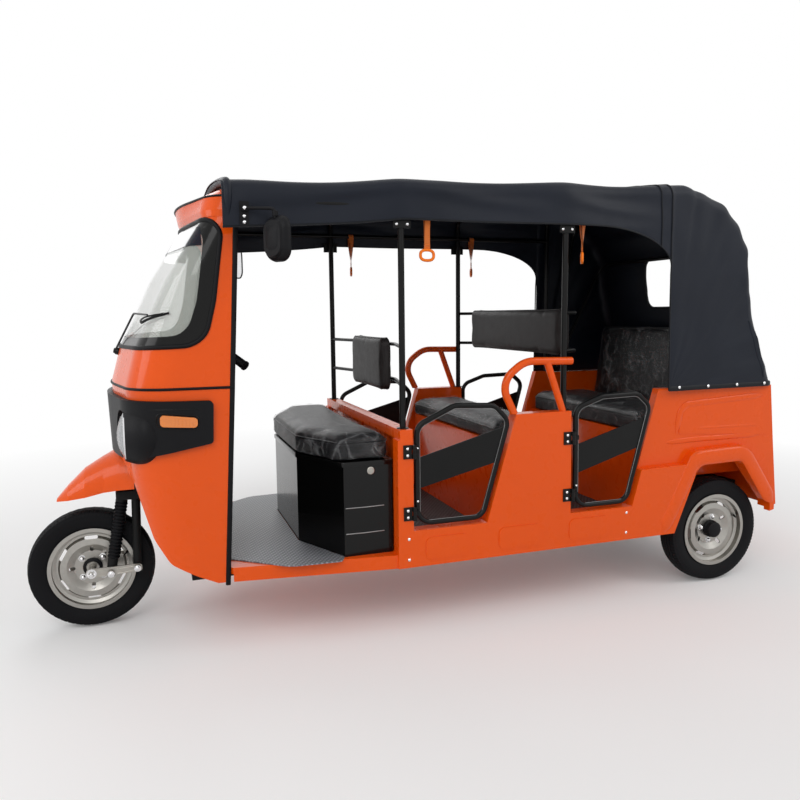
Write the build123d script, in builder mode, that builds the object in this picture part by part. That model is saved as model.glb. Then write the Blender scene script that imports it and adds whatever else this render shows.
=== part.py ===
"""Electric auto rickshaw with a driver's cab, two passenger benches and four tube-framed doors.

Millimetres. +X points forward, +Y to the vehicle's left and +Z up. The origin is on the ground, in the
middle of the overall length and width.
"""

import os
from collections import namedtuple
from math import cos, radians, sin

from build123d import *

os.makedirs("parts", exist_ok=True)

# ---------------------------------------------------------------- driving dimensions
wheelbase = 2784.0
track = 970.0
tail_overhang = 334.0

tyre_radius = 250.0
tyre_half_width = 49.0
bead_radius = 160.0
rim_flange_radius = 172.4
rim_half_width = 45.0
rim_sheet = 3.0
disc_sheet = 4.0
drum_radius = 92.0
lug_count = 4
lug_circle_radius = 57.0
lug_hole_radius = 6.0
oval_circle_radius = 80.0
oval_size = (25.0, 15.0)
vent_count = 6
vent_circle_radius = 128.0
vent_size = (52.0, 12.0)
front_spindle_radius = 8.0
rear_spindle_radius = 14.0
running_gap = 0.05

tub_half_width = 565.0
tub_wall = 40.0
side_flare = 35.0
side_wall = 60.0
sill_bottom = 285.0
sill_top = 434.0
waist = 878.0
tub_top = 940.0
tail_wall = 30.0
emboss = 3.0

floor_top = 340.0
floor_slab = 25.0
floor_skirt = 5.0
rail_height = 60.0
rail_width = 40.0
rail_centre = 330.0
kick_up = 115.0
tow_hole_radius = 6.0
tow_hole_spacing = 140.0

cab_wall = 4.0
cab_seam = 1030.0
seam_gap = 6.0
glass_wall = 5.0
glass_gap = 0.3
band_rise = 20.0
signal_rise = 12.0
pod_radius = 108.0
lens_wall = 3.0

partition_top = 843.0
partition_wall = 20.0
seat_box_top = 720.0
seat_wall = 6.0
bench_top = 745.0

post_radius = 12.5
post_inset = 45.0
rack_radius = 8.0
roof_tube_radius = 11.0
roof_rail_radius = 10.0
roof_rail_z = 1700.0
grab_radius = 16.0

door_tube_radius = 11.0
door_inset = 15.0
hinge_stand_off = 8.5
band_wall = 3.0
hinge_leaf = 4.0
leaf_length = 44.0
hinge_pin_radius = 4.0
knuckle_radius = 8.0
knuckle_length = 18.0
knuckle_gap = 0.3

canopy_wall = 5.0
valance_bottom = 1653.0
contact_gap = 0.3

steering_rake = 20.0
steerer_radius = 16.0
head_tube_wall = 12.0
fork_half_width = 80.0
fork_leg_radius = 17.0
shock_radius = 20.0
link_plate = 8.0

# ---------------------------------------------------------------- stations
rear_axle_x = (tail_overhang - tyre_radius - wheelbase) / 2
front_axle_x = rear_axle_x + wheelbase
tail_x = rear_axle_x - tail_overhang
axle_z = tyre_radius
partition_x = rear_axle_x + 1585.0
middle_post_x = rear_axle_x + 858.0
end_post_front = partition_x + 37
end_post_rear = partition_x - 27
rear_arch_x = rear_axle_x + 345.0
cab_rear_x = rear_axle_x + 2270.0
floor_front_x = rear_axle_x + 2350.0
sill_rear_x = rear_axle_x + 526.0
wheel_centre_y = track / 2
side_half_width = tub_half_width + side_flare
side_inner = side_half_width - side_wall
post_centre = side_half_width - post_inset
door_plane = side_half_width - door_inset
hinge_plane = side_half_width + hinge_stand_off
tub_inner = tub_half_width - tub_wall
rail_top = floor_top - floor_slab
rail_bottom = rail_top - rail_height
rear_rail_bottom = rail_bottom + kick_up
rear_rail_top = rail_top + kick_up


def save(piece, label):
    """Name a finished piece and write it."""
    piece.part.label = label
    export_step(piece.part, f"parts/{label}.step")


def block(x_range, y_range, z_range, mode=Mode.ADD):
    """A box between two values along each axis, added to the part being built."""
    ranges = (x_range, y_range, z_range)
    with Locations(tuple((low + high) / 2 for low, high in ranges)):
        Box(*(high - low for low, high in ranges), mode=mode)


def rod(start, end, radius, mode=Mode.ADD):
    """A straight round bar between two points."""
    run = Vector(*end) - Vector(*start)
    with Locations(Plane(origin=start, z_dir=run)):
        Cylinder(radius, run.length, align=(Align.CENTER, Align.CENTER, Align.MIN), mode=mode)


def tube_run(points, bend, radius, close=False):
    """A round tube along straight runs joined by bends of one radius, or of one radius each."""
    with BuildLine() as path:
        FilletPolyline(*points, radius=bend, close=close)
    start = path.line.edges()[0]
    section_plane = Plane(origin=start @ 0, z_dir=start % 0)
    with BuildSketch(section_plane) as section:
        Circle(radius)
    sweep(section.sketch, path=path.line)


def side_outline(points, y, bend=0.0):
    """A closed outline seen from the side, on the plane at y; extruding it goes towards -Y."""
    with BuildSketch(Plane.XZ.offset(-y)) as outline:
        with BuildLine():
            FilletPolyline(*points, radius=bend, close=True)
        make_face()
    return outline.sketch


def front_outline(points, x, bend=0.0):
    """A closed outline seen from the front, on the plane at x; extruding it goes towards +X."""
    with BuildSketch(Plane.YZ.offset(x)) as outline:
        with BuildLine():
            FilletPolyline(*points, radius=bend, close=True)
        make_face()
    return outline.sketch


def plan_outline(points, z, bend=0.0):
    """A closed outline seen from above, on the plane at z; extruding it goes up."""
    with BuildSketch(Plane.XY.offset(z)) as outline:
        with BuildLine():
            FilletPolyline(*points, radius=bend, close=True)
        make_face()
    return outline.sketch


def both_sides(points):
    """The points of a symmetric outline from those of its left half, in order from front to back."""
    return [*points, *((x, -y) for x, y in reversed(points))]


# ---------------------------------------------------------------- wheels
def wheel_plane(x, y, outward):
    """Sketch plane through a wheel's axis: local x runs outwards along the axle, local y is the radius."""
    return Plane(origin=(x, y, axle_z), x_dir=(0, outward, 0), z_dir=(outward, 0, 0))


def make_wheel(name, x, y, outward, spindle_radius, turn):
    """A tyre on a pressed steel rim that carries its slotted disc, hub and brake drum."""
    plane = wheel_plane(x, y, outward)
    axle = Axis((x, y, axle_z), (0, 1, 0))
    side_on = Plane(origin=(x, y, axle_z), x_dir=(1, 0, 0), z_dir=(0, outward, 0))
    shoulder_radius = tyre_radius - 9
    with BuildPart() as tyre:
        with BuildSketch(plane) as tyre_section:
            with BuildLine():
                bead = rim_half_width - 2 * rim_sheet
                Line((-bead, bead_radius), (-bead, rim_flange_radius + 1))
                ThreePointArc((-bead, rim_flange_radius + 1), (-tyre_half_width, 207),
                              (3 - tyre_half_width, shoulder_radius))
                ThreePointArc((3 - tyre_half_width, shoulder_radius), (0, tyre_radius),
                              (tyre_half_width - 3, shoulder_radius))
                ThreePointArc((tyre_half_width - 3, shoulder_radius), (tyre_half_width, 207),
                              (bead, rim_flange_radius + 1))
                Polyline((bead, rim_flange_radius + 1), (bead, bead_radius), (-bead, bead_radius))
            make_face()
        revolve(tyre_section.sketch, axis=axle)
    save(tyre, f"{name}_tyre")

    seat = bead_radius - contact_gap
    well = seat - 13
    disc_face = 14.0
    bore = spindle_radius + running_gap
    with BuildPart() as rim:
        with BuildSketch(plane) as rim_section:
            with BuildLine():
                Polyline(
                    (-rim_half_width, rim_flange_radius), (rim_sheet - rim_half_width, rim_flange_radius),
                    (rim_sheet - rim_half_width, seat), (-20, seat), (-14, well), (14, well), (20, seat),
                    (rim_half_width - rim_sheet, seat), (rim_half_width - rim_sheet, rim_flange_radius),
                    (rim_half_width, rim_flange_radius), (rim_half_width, seat - rim_sheet),
                    (22, seat - rim_sheet), (16, well - rim_sheet), (-16, well - rim_sheet),
                    (-22, seat - rim_sheet), (-rim_half_width, seat - rim_sheet), close=True)
            make_face()
            with BuildLine():
                Polyline(
                    (disc_face, well - 1), (disc_face, 134), (27, 126), (29, 100), (disc_face, 72),
                    (disc_face, 24), (24, 24), (24, bore), (-56, bore), (-56, 26), (-20, 26),
                    (-20, drum_radius - 8), (-56, drum_radius - 8), (-56, drum_radius),
                    (-12, drum_radius), (-12, 30), (disc_face - disc_sheet, 30),
                    (disc_face - disc_sheet, 74), (25, 101), (23, 123), (disc_face - disc_sheet, 131),
                    (disc_face - disc_sheet, well - 1), close=True)
            make_face()
        revolve(rim_section.sketch, axis=axle)
        with BuildSketch(side_on) as disc_openings:
            with PolarLocations(vent_circle_radius, vent_count, start_angle=turn + 180 / vent_count):
                SlotOverall(*vent_size, rotation=90)
            with PolarLocations(oval_circle_radius, lug_count, start_angle=turn):
                SlotOverall(*oval_size)
            with PolarLocations(lug_circle_radius, lug_count, start_angle=turn + 180 / lug_count):
                Circle(lug_hole_radius)
        extrude(disc_openings.sketch, amount=40, mode=Mode.SUBTRACT)
    save(rim, f"{name}_rim")


Wheel = namedtuple("Wheel", "name x y outward spindle_radius turn")
wheels = [
    Wheel("front", front_axle_x, 0.0, 1, front_spindle_radius, 0.0),
    Wheel("rear_left", rear_axle_x, wheel_centre_y, 1, rear_spindle_radius, 35.0),
    Wheel("rear_right", rear_axle_x, -wheel_centre_y, -1, rear_spindle_radius, -35.0),
]
for wheel in wheels:
    make_wheel(*wheel)

# ---------------------------------------------------------------- steering
rake = radians(steering_rake)
steer_foot = Vector(rear_axle_x + 2610.0, 0, 620.0)
steer_up = Vector(-sin(rake), 0, cos(rake))


def on_steering_axis(distance):
    """The point on the steering axis this far up from its foot."""
    return steer_foot + steer_up * distance


crown_top = 580.0
crown_bottom = 545.0
crown_half_width = 106.0
leg_top_x = steer_foot.X - 10
shock_top_x = steer_foot.X + 42
link_pivot = (rear_axle_x + 2606.0, 255.0)
shock_eye = (rear_axle_x + 2709.0, 243.0)
link_inner = fork_half_width + shock_radius + 1
axle_half_length = link_inner + link_plate + 14
spacer_radius = 14.0
spacer_start = 28.0
backing_start = 57.0
backing_sheet = 2.5
head_tube_bottom = 20.0
head_tube_top = 230.0
clamp_height = 1065.0
clamp_distance = (clamp_height - steer_foot.Z) / cos(rake)
clamp = on_steering_axis(clamp_distance)

with BuildPart() as fork:
    crown_sides = both_sides([(shock_top_x + 24, crown_half_width), (leg_top_x - 24, crown_half_width)])
    extrude(plan_outline(crown_sides, crown_bottom, 14), amount=crown_top - crown_bottom)
    rod(on_steering_axis(-50), on_steering_axis(clamp_distance - 10), steerer_radius)
    for x, eye, radius in ((leg_top_x, link_pivot, fork_leg_radius), (shock_top_x, shock_eye, shock_radius)):
        rod((x, fork_half_width, crown_bottom + 10), (eye[0], fork_half_width, eye[1]), radius)
        rod((eye[0], fork_half_width - 16, eye[1]), (eye[0], link_inner, eye[1]), 19)
    mirror(about=Plane.XZ)
save(fork, "fork")

with BuildPart() as front_links:
    link_shape = [(link_pivot[0] - 18, link_pivot[1] + 16), (link_pivot[0] - 18, link_pivot[1] - 16),
                  (front_axle_x + 20, axle_z - 18), (front_axle_x + 20, axle_z + 18)]
    extrude(side_outline(link_shape, link_inner + link_plate, 12), amount=link_plate)
    for x, z in (link_pivot, shock_eye, (front_axle_x, axle_z)):
        rod((x, link_inner + link_plate, z), (x, link_inner + link_plate + 12, z), 11)
    mirror(about=Plane.XZ)
    rod((front_axle_x, -axle_half_length, axle_z), (front_axle_x, axle_half_length, axle_z),
        front_spindle_radius)
    rod((front_axle_x, spacer_start, axle_z), (front_axle_x, link_inner, axle_z), spacer_radius)
    rod((front_axle_x, -link_inner, axle_z), (front_axle_x, -backing_start, axle_z), spacer_radius)
    rod((front_axle_x, -backing_start - backing_sheet, axle_z), (front_axle_x, -backing_start, axle_z),
        drum_radius - 3)
save(front_links, "front_links")

grip_length = 115.0
with BuildPart() as handlebar:
    bar_half = [(clamp.X, 0, clamp.Z + 14), (clamp.X - 25, 110, clamp.Z + 62),
                (clamp.X - 195, 205, clamp.Z + 106), (clamp.X - 287, 305, clamp.Z + 30)]
    bar_points = [*((x, -y, z) for x, y, z in reversed(bar_half[1:])), *bar_half]
    tube_run(bar_points, (30, 45, 30, 45, 30), 11)
    rod(on_steering_axis(clamp_distance - 10), on_steering_axis(clamp_distance + 26), 24)
    for side in (1, -1):
        end = Vector(bar_half[3][0], side * bar_half[3][1], bar_half[3][2])
        inner = Vector(bar_half[2][0], side * bar_half[2][1], bar_half[2][2])
        rod(end, end + (inner - end).normalized() * (grip_length - 15), 16)
save(handlebar, "handlebar")

# ---------------------------------------------------------------- chassis, springs and rear axle
rear_rail_x = tail_x + 46
kick_x = rear_axle_x + 355
spring_half_length = 270.0
spring_camber = 45.0
leaf_sheet = 6.0
leaf_count = 4
spring_eye_radius = 12.0
spring_pin_radius = 6.0
axle_tube_radius = 30.0
spring_seat_top = axle_z + axle_tube_radius + 8
spring_arc_radius = (spring_half_length**2 + spring_camber**2) / (2 * spring_camber)
spring_top = spring_seat_top + leaf_count * leaf_sheet
spring_eye_z = spring_top + spring_camber - spring_eye_radius + 3
front_rail_x = floor_front_x + 50
cross_member_x = [front_rail_x - 20, partition_x, middle_post_x, kick_x + 20, rear_rail_x + 20]
outrigger_x = [partition_x - 60, partition_x - 340, middle_post_x, sill_rear_x + 40]

with BuildPart() as chassis_frame:
    rail_side = [
        (front_rail_x, rail_bottom), (front_rail_x, rail_top), (kick_x, rail_top),
        (kick_x - 80, rear_rail_top), (rear_rail_x, rear_rail_top), (rear_rail_x, rear_rail_bottom),
        (kick_x - 50, rear_rail_bottom), (kick_x + 30, rail_bottom)]
    extrude(side_outline(rail_side, rail_centre + rail_width / 2), amount=rail_width)
    for x in outrigger_x:
        block((x - 15, x + 15), (rail_centre, side_inner), (rail_bottom + 10, rail_top))
    for x in (rear_axle_x + spring_half_length, rear_axle_x - spring_half_length):
        for y in (rail_centre - rail_width / 2 + 3, rail_centre + rail_width / 2 - 3):
            block((x - 16, x + 16), (y - 3, y + 3), (spring_eye_z - 14, rear_rail_bottom))
        rod((x, rail_centre - 20, spring_eye_z), (x, rail_centre + 20, spring_eye_z), spring_pin_radius)
    mirror(about=Plane.XZ)
    for x in cross_member_x:
        lift = kick_up if x < kick_x else 0
        block((x - 20, x + 20), (-rail_centre, rail_centre), (rail_bottom + lift, rail_top + lift))
    beam_side = [
        (front_rail_x - 36, rail_bottom), (front_rail_x + 25, rail_bottom), (steer_foot.X - 75, 600),
        (steer_foot.X - 38, 660), (steer_foot.X - 68, 745), (steer_foot.X - 120, 700),
        (steer_foot.X - 126, 640), (front_rail_x - 36, rail_top)]
    extrude(side_outline(beam_side, 25), amount=50)
    rod(on_steering_axis(head_tube_bottom), on_steering_axis(head_tube_top), steerer_radius + head_tube_wall)
    rod(on_steering_axis(head_tube_bottom - 5), on_steering_axis(head_tube_top + 5),
        steerer_radius + running_gap, Mode.SUBTRACT)
    for side in (1, -1):
        tow_hole = (cross_member_x[-1], side * tow_hole_spacing / 2)
        rod((*tow_hole, rear_rail_bottom - 1), (*tow_hole, rear_rail_top + 1), tow_hole_radius, Mode.SUBTRACT)
save(chassis_frame, "chassis_frame")


def leaf_outline(index):
    """Side view of one leaf; the top leaf is the longest, and each one below is shorter."""
    half_angle = (spring_half_length - 62 * index) / spring_arc_radius
    upper = spring_arc_radius + index * leaf_sheet
    lower = upper + leaf_sheet
    centre_z = spring_top + spring_arc_radius

    def place(radius, angle):
        return (rear_axle_x + radius * sin(angle), centre_z - radius * cos(angle))

    with BuildSketch(Plane.XZ.offset(-(rail_centre + 13))) as outline:
        with BuildLine():
            ThreePointArc(place(upper, -half_angle), place(upper, 0), place(upper, half_angle))
            Line(place(upper, half_angle), place(lower, half_angle))
            ThreePointArc(place(lower, half_angle), place(lower, 0), place(lower, -half_angle))
            Line(place(lower, -half_angle), place(upper, -half_angle))
        make_face()
    return outline.sketch


with BuildPart() as leaf_springs:
    for index in range(leaf_count):
        extrude(leaf_outline(index), amount=26)
    for x in (rear_axle_x + spring_half_length, rear_axle_x - spring_half_length):
        rod((x, rail_centre - 13, spring_eye_z), (x, rail_centre + 13, spring_eye_z), spring_eye_radius)
        rod((x, rail_centre - 13, spring_eye_z), (x, rail_centre + 13, spring_eye_z),
            spring_pin_radius + running_gap, Mode.SUBTRACT)
    mirror(about=Plane.XZ)
save(leaf_springs, "leaf_springs")

motor_radius = 82.0
with BuildPart() as rear_axle:
    rod((rear_axle_x, 0, axle_z), (rear_axle_x, wheel_centre_y - 90, axle_z), axle_tube_radius)
    rod((rear_axle_x, 0, axle_z), (rear_axle_x, 62, axle_z), 96)
    rod((rear_axle_x, wheel_centre_y - 90, axle_z), (rear_axle_x, wheel_centre_y - 57, axle_z), 24)
    rod((rear_axle_x, wheel_centre_y - 62, axle_z), (rear_axle_x, wheel_centre_y - 57.5, axle_z),
        drum_radius - 3)
    rod((rear_axle_x, wheel_centre_y - 90, axle_z), (rear_axle_x, wheel_centre_y + 46, axle_z),
        rear_spindle_radius)
    block((rear_axle_x - 36, rear_axle_x + 36), (rail_centre - 22, rail_centre + 22),
          (axle_z, spring_seat_top))
    mirror(about=Plane.XZ)
    rod((rear_axle_x, 0, axle_z), (rear_axle_x + 310, 0, axle_z), motor_radius)
save(rear_axle, "rear_axle")

# ---------------------------------------------------------------- floor and side panels
floor_edge = [(floor_front_x, 484), (cab_rear_x - 5, 494), (cab_rear_x - 15, 505),
              (end_post_front, side_half_width - 8), (end_post_front, side_inner), (sill_rear_x, side_inner),
              (sill_rear_x, tub_inner), (rear_axle_x + 365, tub_inner)]
with BuildPart() as floor_pan:
    extrude(plan_outline(both_sides(floor_edge), rail_top), amount=floor_slab)
    skirt = [floor_edge[2], floor_edge[3], (floor_edge[3][0], floor_edge[3][1] - floor_skirt),
             (floor_edge[2][0], floor_edge[2][1] - floor_skirt)]
    for side in (1, -1):
        strip = [(x, side * y) for x, y in skirt]
        extrude(plan_outline(strip, sill_bottom), amount=rail_top - sill_bottom)
save(floor_pan, "floor_pan")

Recess = namedtuple("Recess", "x width z height")
sill_pads = [
    Recess(rear_axle_x + 1415, 184, 356, 92),
    Recess(rear_axle_x + 1083, 198, 360, 92),
    Recess(rear_axle_x + 748, 198, 361, 92),
]
panel_top_front = rear_axle_x + 1105
panel_top_rear = middle_post_x - post_radius - 1
panel_foot_front = rear_axle_x + 1235
with BuildPart() as side_panels:
    sill_side = [
        (end_post_rear, sill_bottom), (end_post_rear, sill_top), (panel_foot_front, sill_top),
        (panel_top_front, waist), (panel_top_rear, waist), (panel_top_rear - 4, sill_top),
        (sill_rear_x, sill_top), (sill_rear_x, sill_bottom)]
    extrude(side_outline(sill_side, side_half_width), amount=side_wall)
    for pad in sill_pads:
        with BuildSketch(Plane.XZ.offset(-side_half_width)) as pad_outline:
            with Locations((pad.x, pad.z)):
                RectangleRounded(pad.width, pad.height, 26)
        extrude(pad_outline.sketch, amount=-emboss)
    mirror(about=Plane.XZ)
save(side_panels, "side_panels")

with BuildPart() as partition:
    block((partition_x - 10, partition_x - 10 + partition_wall), (-side_inner, side_inner),
          (floor_top, partition_top - 40))
    block((partition_x - 25, partition_x + 27), (-side_half_width, side_half_width),
          (partition_top - 40, partition_top))
    for side in (1, -1):
        across = sorted((side * side_inner, side * side_half_width))
        block((end_post_rear, end_post_front), across, (sill_bottom, partition_top - 40))
save(partition, "partition")

# ---------------------------------------------------------------- rear tub
wall_top_x = rear_axle_x - 270
wall_mid_x = rear_axle_x - 298
arch_opening = [
    (rear_axle_x + 327, 200), (rear_axle_x + 165, 590), (rear_axle_x - 90, 594),
    (rear_axle_x - 262, 380), (rear_axle_x - 262, 200)]
flare_outer = [
    (rear_axle_x + 398, sill_bottom), (rear_axle_x + 205, 658), (rear_axle_x - 110, 668),
    (rear_axle_x - 288, 370), (rear_axle_x - 288, 340), (rear_axle_x + 327, 200)]
tail_inner = [(wall_top_x + tail_wall, tub_top), (wall_mid_x + tail_wall, 670),
              (tail_x + tail_wall, 353)]
with BuildPart() as quarter_panels:
    quarter_side = [
        (sill_rear_x, sill_bottom), (sill_rear_x, sill_top), (rear_axle_x + 375, tub_top + 8),
        (rear_axle_x + 312, tub_top + 8), (rear_axle_x + 290, tub_top), *tail_inner,
        (rear_axle_x + 327, sill_bottom)]
    extrude(side_outline(quarter_side, tub_half_width), amount=tub_wall)
    lower_leg = [(sill_rear_x, sill_bottom), (sill_rear_x, sill_top), (rear_axle_x + 480, sill_top + 160),
                 (rear_axle_x + 215, 600), (rear_axle_x + 350, sill_bottom)]
    extrude(side_outline(lower_leg, side_half_width), amount=side_half_width - tub_half_width)
    extrude(side_outline(flare_outer, side_half_width, (0, 60, 60, 0, 0, 0)),
            amount=side_half_width - tub_half_width)
    raised = [(rear_axle_x + 262, 737), (rear_axle_x + 232, 855), (rear_axle_x + 170, 872),
              (wall_top_x + 35, 885), (wall_mid_x + 35, 700), (rear_axle_x - 100, 715)]
    extrude(side_outline(raised, tub_half_width, 14), amount=-emboss)
    extrude(side_outline(arch_opening, side_half_width + 1, (0, 60, 60, 0, 0)),
            amount=side_wall + 60, mode=Mode.SUBTRACT)
    block((tail_x, rear_axle_x + 500), (tub_half_width - 65, side_half_width + 100), (100, sill_bottom),
          Mode.SUBTRACT)
    mirror(about=Plane.XZ)
save(quarter_panels, "quarter_panels")

with BuildPart() as tail_panel:
    tail_side = [(wall_top_x, tub_top), (wall_mid_x, 670), (tail_x, 353), tail_inner[2], tail_inner[1],
                 tail_inner[0]]
    extrude(side_outline(tail_side, tub_half_width), amount=2 * tub_half_width)
save(tail_panel, "tail_panel")

lamp_half_width = 45.0
with BuildPart() as tail_lamps:
    slope = (wall_mid_x - tail_x) / (670 - 353)
    low_x = tail_x + slope * (520 - 353)
    high_x = tail_x + slope * (640 - 353)
    lamp_side = [(low_x, 520), (high_x, 640), (high_x - 16, 640), (low_x - 10, 520)]
    extrude(side_outline(lamp_side, 480 + lamp_half_width), amount=2 * lamp_half_width)
    mirror(about=Plane.XZ)
save(tail_lamps, "tail_lamps")

rear_deck = 735.0
rear_base_x = rear_axle_x + 405
liner_inner = wheel_centre_y - 60
liner_wall = 5.0
with BuildPart() as rear_seat_base:
    block((rear_base_x - 12, rear_base_x), (-tub_inner, tub_inner), (floor_top, rear_deck))
    block((tail_inner[0][0], rear_base_x), (-tub_inner, tub_inner), (rear_deck - 12, rear_deck))
    for side in (1, -1):
        liner_span = sorted((side * liner_inner, side * tub_inner))
        wall_span = sorted((side * liner_inner, side * (liner_inner + liner_wall)))
        block((rear_axle_x - 258, rear_base_x - 12), wall_span, (500, rear_deck - 12))
        block((rear_axle_x - 258, rear_base_x - 12), liner_span, (600, 600 + liner_wall))
save(rear_seat_base, "rear_seat_base")

# ---------------------------------------------------------------- seats
box_front_x = rear_axle_x + 1955
box_knee_x = rear_axle_x + 1826
box_half = [(box_front_x, 260), (box_knee_x, side_inner - 2), (partition_x + 41, side_inner - 2)]
box_inner = [(box_front_x - 6, 256), (box_knee_x - 4, side_inner - 8), (partition_x + 47, side_inner - 8)]
with BuildPart() as seat_box:
    extrude(plan_outline(both_sides(box_half), floor_top), amount=seat_box_top - floor_top)
    extrude(plan_outline(both_sides(box_inner), floor_top), amount=seat_box_top - floor_top - seat_wall,
            mode=Mode.SUBTRACT)
save(seat_box, "seat_box")

with BuildPart() as battery:
    block((partition_x + 60, partition_x + 235), (-450, 450), (floor_top, floor_top + 260))
save(battery, "battery")

cushion_round = 30.0
driver_cushion_top = 825.0
with BuildPart() as driver_cushion:
    seat_half = [(box_front_x + 30, 280), (box_knee_x + 24, post_centre), (partition_x + 32, post_centre)]
    extrude(plan_outline(both_sides(seat_half), seat_box_top + contact_gap, 40),
            amount=driver_cushion_top - seat_box_top - contact_gap)
    fillet(driver_cushion.faces().sort_by(Axis.Z)[-1].edges(), cushion_round)
save(driver_cushion, "driver_cushion")

middle_front_x = rear_axle_x + 1165
middle_back_x = middle_post_x - 5
base_half_width = side_inner - 40
base_inner = base_half_width - seat_wall
with BuildPart() as middle_seat_base:
    block((middle_back_x + 10, middle_front_x - 25), (-base_half_width, base_half_width),
          (floor_top, bench_top))
    block((middle_back_x + 10 + seat_wall, middle_front_x - 25 - seat_wall), (-base_inner, base_inner),
          (floor_top, bench_top - seat_wall), Mode.SUBTRACT)
save(middle_seat_base, "middle_seat_base")

with BuildPart() as middle_cushion:
    block((middle_back_x, middle_front_x), (15 - side_inner, side_inner - 15),
          (bench_top + contact_gap, bench_top + 85))
    fillet(middle_cushion.faces().sort_by(Axis.Z)[-1].edges(), cushion_round)
save(middle_cushion, "middle_cushion")

rear_cushion_front = rear_axle_x + 430
back_foot_x = rear_axle_x + 40
with BuildPart() as rear_cushion:
    block((back_foot_x + 10, rear_cushion_front), (15 - tub_inner, tub_inner - 15),
          (rear_deck + contact_gap, rear_deck + 105))
    fillet(rear_cushion.faces().sort_by(Axis.Z)[-1].edges(), cushion_round)
save(rear_cushion, "rear_cushion")

with BuildPart() as rear_backrest:
    lean = [(back_foot_x, rear_deck + contact_gap), (back_foot_x - 66, 1235), (back_foot_x - 150, 1235),
            (back_foot_x - 100, rear_deck + contact_gap)]
    extrude(side_outline(lean, tub_inner - 20, 18), amount=2 * tub_inner - 40)
save(rear_backrest, "rear_backrest")

Pad = namedtuple("Pad", "post_x face_back half_width low high thick")
pads = [
    Pad(partition_x, 12, 250, 956, 1197, 52),
    Pad(middle_post_x, 30, 473, 1098, 1314, 58),
]
with BuildPart() as rack_pads:
    for pad in pads:
        corner = [(-pad.half_width, pad.low), (pad.half_width, pad.low), (pad.half_width, pad.high),
                  (-pad.half_width, pad.high)]
        extrude(front_outline(corner, pad.post_x - pad.face_back - pad.thick, 38), amount=pad.thick)
save(rack_pads, "rack_pads")

# ---------------------------------------------------------------- posts and racks
Post = namedtuple("Post", "x foot bars pad_back pad_half_width")
post_pairs = [
    Post(partition_x, partition_top, (1163, 1011), pads[0].face_back + pads[0].thick, 250),
    Post(middle_post_x, waist, (1290, 1127), pads[1].face_back + pads[1].thick, 473),
]
post_top = roof_rail_z - roof_rail_radius
with BuildPart() as posts:
    for pair in post_pairs:
        for side in (1, -1):
            rod((pair.x, side * post_centre, pair.foot), (pair.x, side * post_centre, post_top), post_radius)
        back = pair.x - pair.pad_back - rack_radius - contact_gap
        inner = pair.pad_half_width + 15
        for z in pair.bars:
            tube_run([(pair.x, -post_centre, z), (back, -inner, z), (back, inner, z),
                      (pair.x, post_centre, z)], 30, rack_radius)
save(posts, "posts")

# ---------------------------------------------------------------- canopy
Station = namedtuple("Station", "x shoulder crown")
canopy_front_x = rear_axle_x + 2255
stations = [
    Station(canopy_front_x, 1768, 1826),
    Station(partition_x - 185, 1812, 1866),
    Station(rear_arch_x + 15, 1836, 1886),
    Station(tail_x - 20, 1836, 1886),
]
valance_half_width = side_half_width - 2
shoulder_half_width = side_half_width - 18
canopy_reach = side_half_width + 100


def canopy_section(station, inset, bottom):
    """Cross-section of the canopy's space at one station, inset by a wall."""
    half = [(valance_half_width - inset, bottom), (shoulder_half_width - inset, station.shoulder - inset)]
    points = [*half, (0, station.crown - inset), *((-y, z) for y, z in reversed(half))]
    with BuildSketch(Plane.YZ.offset(station.x)) as outline:
        with BuildLine():
            FilletPolyline(*points, radius=(55 - inset, 900, 55 - inset))
            Line(points[-1], points[0])
        make_face()
    return outline.sketch


def rear_contour(inset):
    """Side view of the canopy's space, open far in front, with the folded curve of its back."""
    back = [(rear_axle_x + 268, 1900), (rear_axle_x + 148, 1846), (rear_axle_x + 30, 1790),
            (rear_axle_x - 50, 1700), (rear_axle_x - 109, 1585), (rear_axle_x - 109, 1465),
            (rear_axle_x - 169, 1207), (wall_top_x, tub_top + contact_gap)]
    return [(front_axle_x, 1900), *((x + inset, z - inset * (z > 1600)) for x, z in back),
            (front_axle_x, tub_top + contact_gap)]


def canopy_space(inset):
    """The closed volume under the canopy's outer or inner face."""
    with BuildPart() as space:
        loft([canopy_section(station, inset, tub_top + contact_gap - inset) for station in stations],
             ruled=True)
        contour = side_outline(rear_contour(inset), canopy_reach)
        extrude(contour, amount=2 * canopy_reach, mode=Mode.INTERSECT)
    return space


canopy_outer = canopy_space(0)
canopy_inner = canopy_space(canopy_wall)
window_half_width = 180.0
window_low = 1310.0
window_high = 1575.0
with BuildPart() as canopy:
    add(canopy_outer.part)
    add(canopy_inner.part, mode=Mode.SUBTRACT)
    block((canopy_front_x - canopy_wall - 1, canopy_front_x + 2),
          (canopy_wall - shoulder_half_width, shoulder_half_width - canopy_wall), (900, 1766), Mode.SUBTRACT)
    door_opening = [(front_axle_x, 800), (rear_arch_x, 800), (rear_arch_x, valance_bottom),
                    (front_axle_x, valance_bottom)]
    extrude(side_outline(door_opening, canopy_reach, (0, 0, 150, 0)), amount=2 * canopy_reach,
            mode=Mode.SUBTRACT)
    window = [(-window_half_width, window_low), (window_half_width, window_low),
              (window_half_width, window_high), (-window_half_width, window_high)]
    extrude(front_outline(window, tail_x, 60), amount=400, mode=Mode.SUBTRACT)
save(canopy, "canopy")

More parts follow.
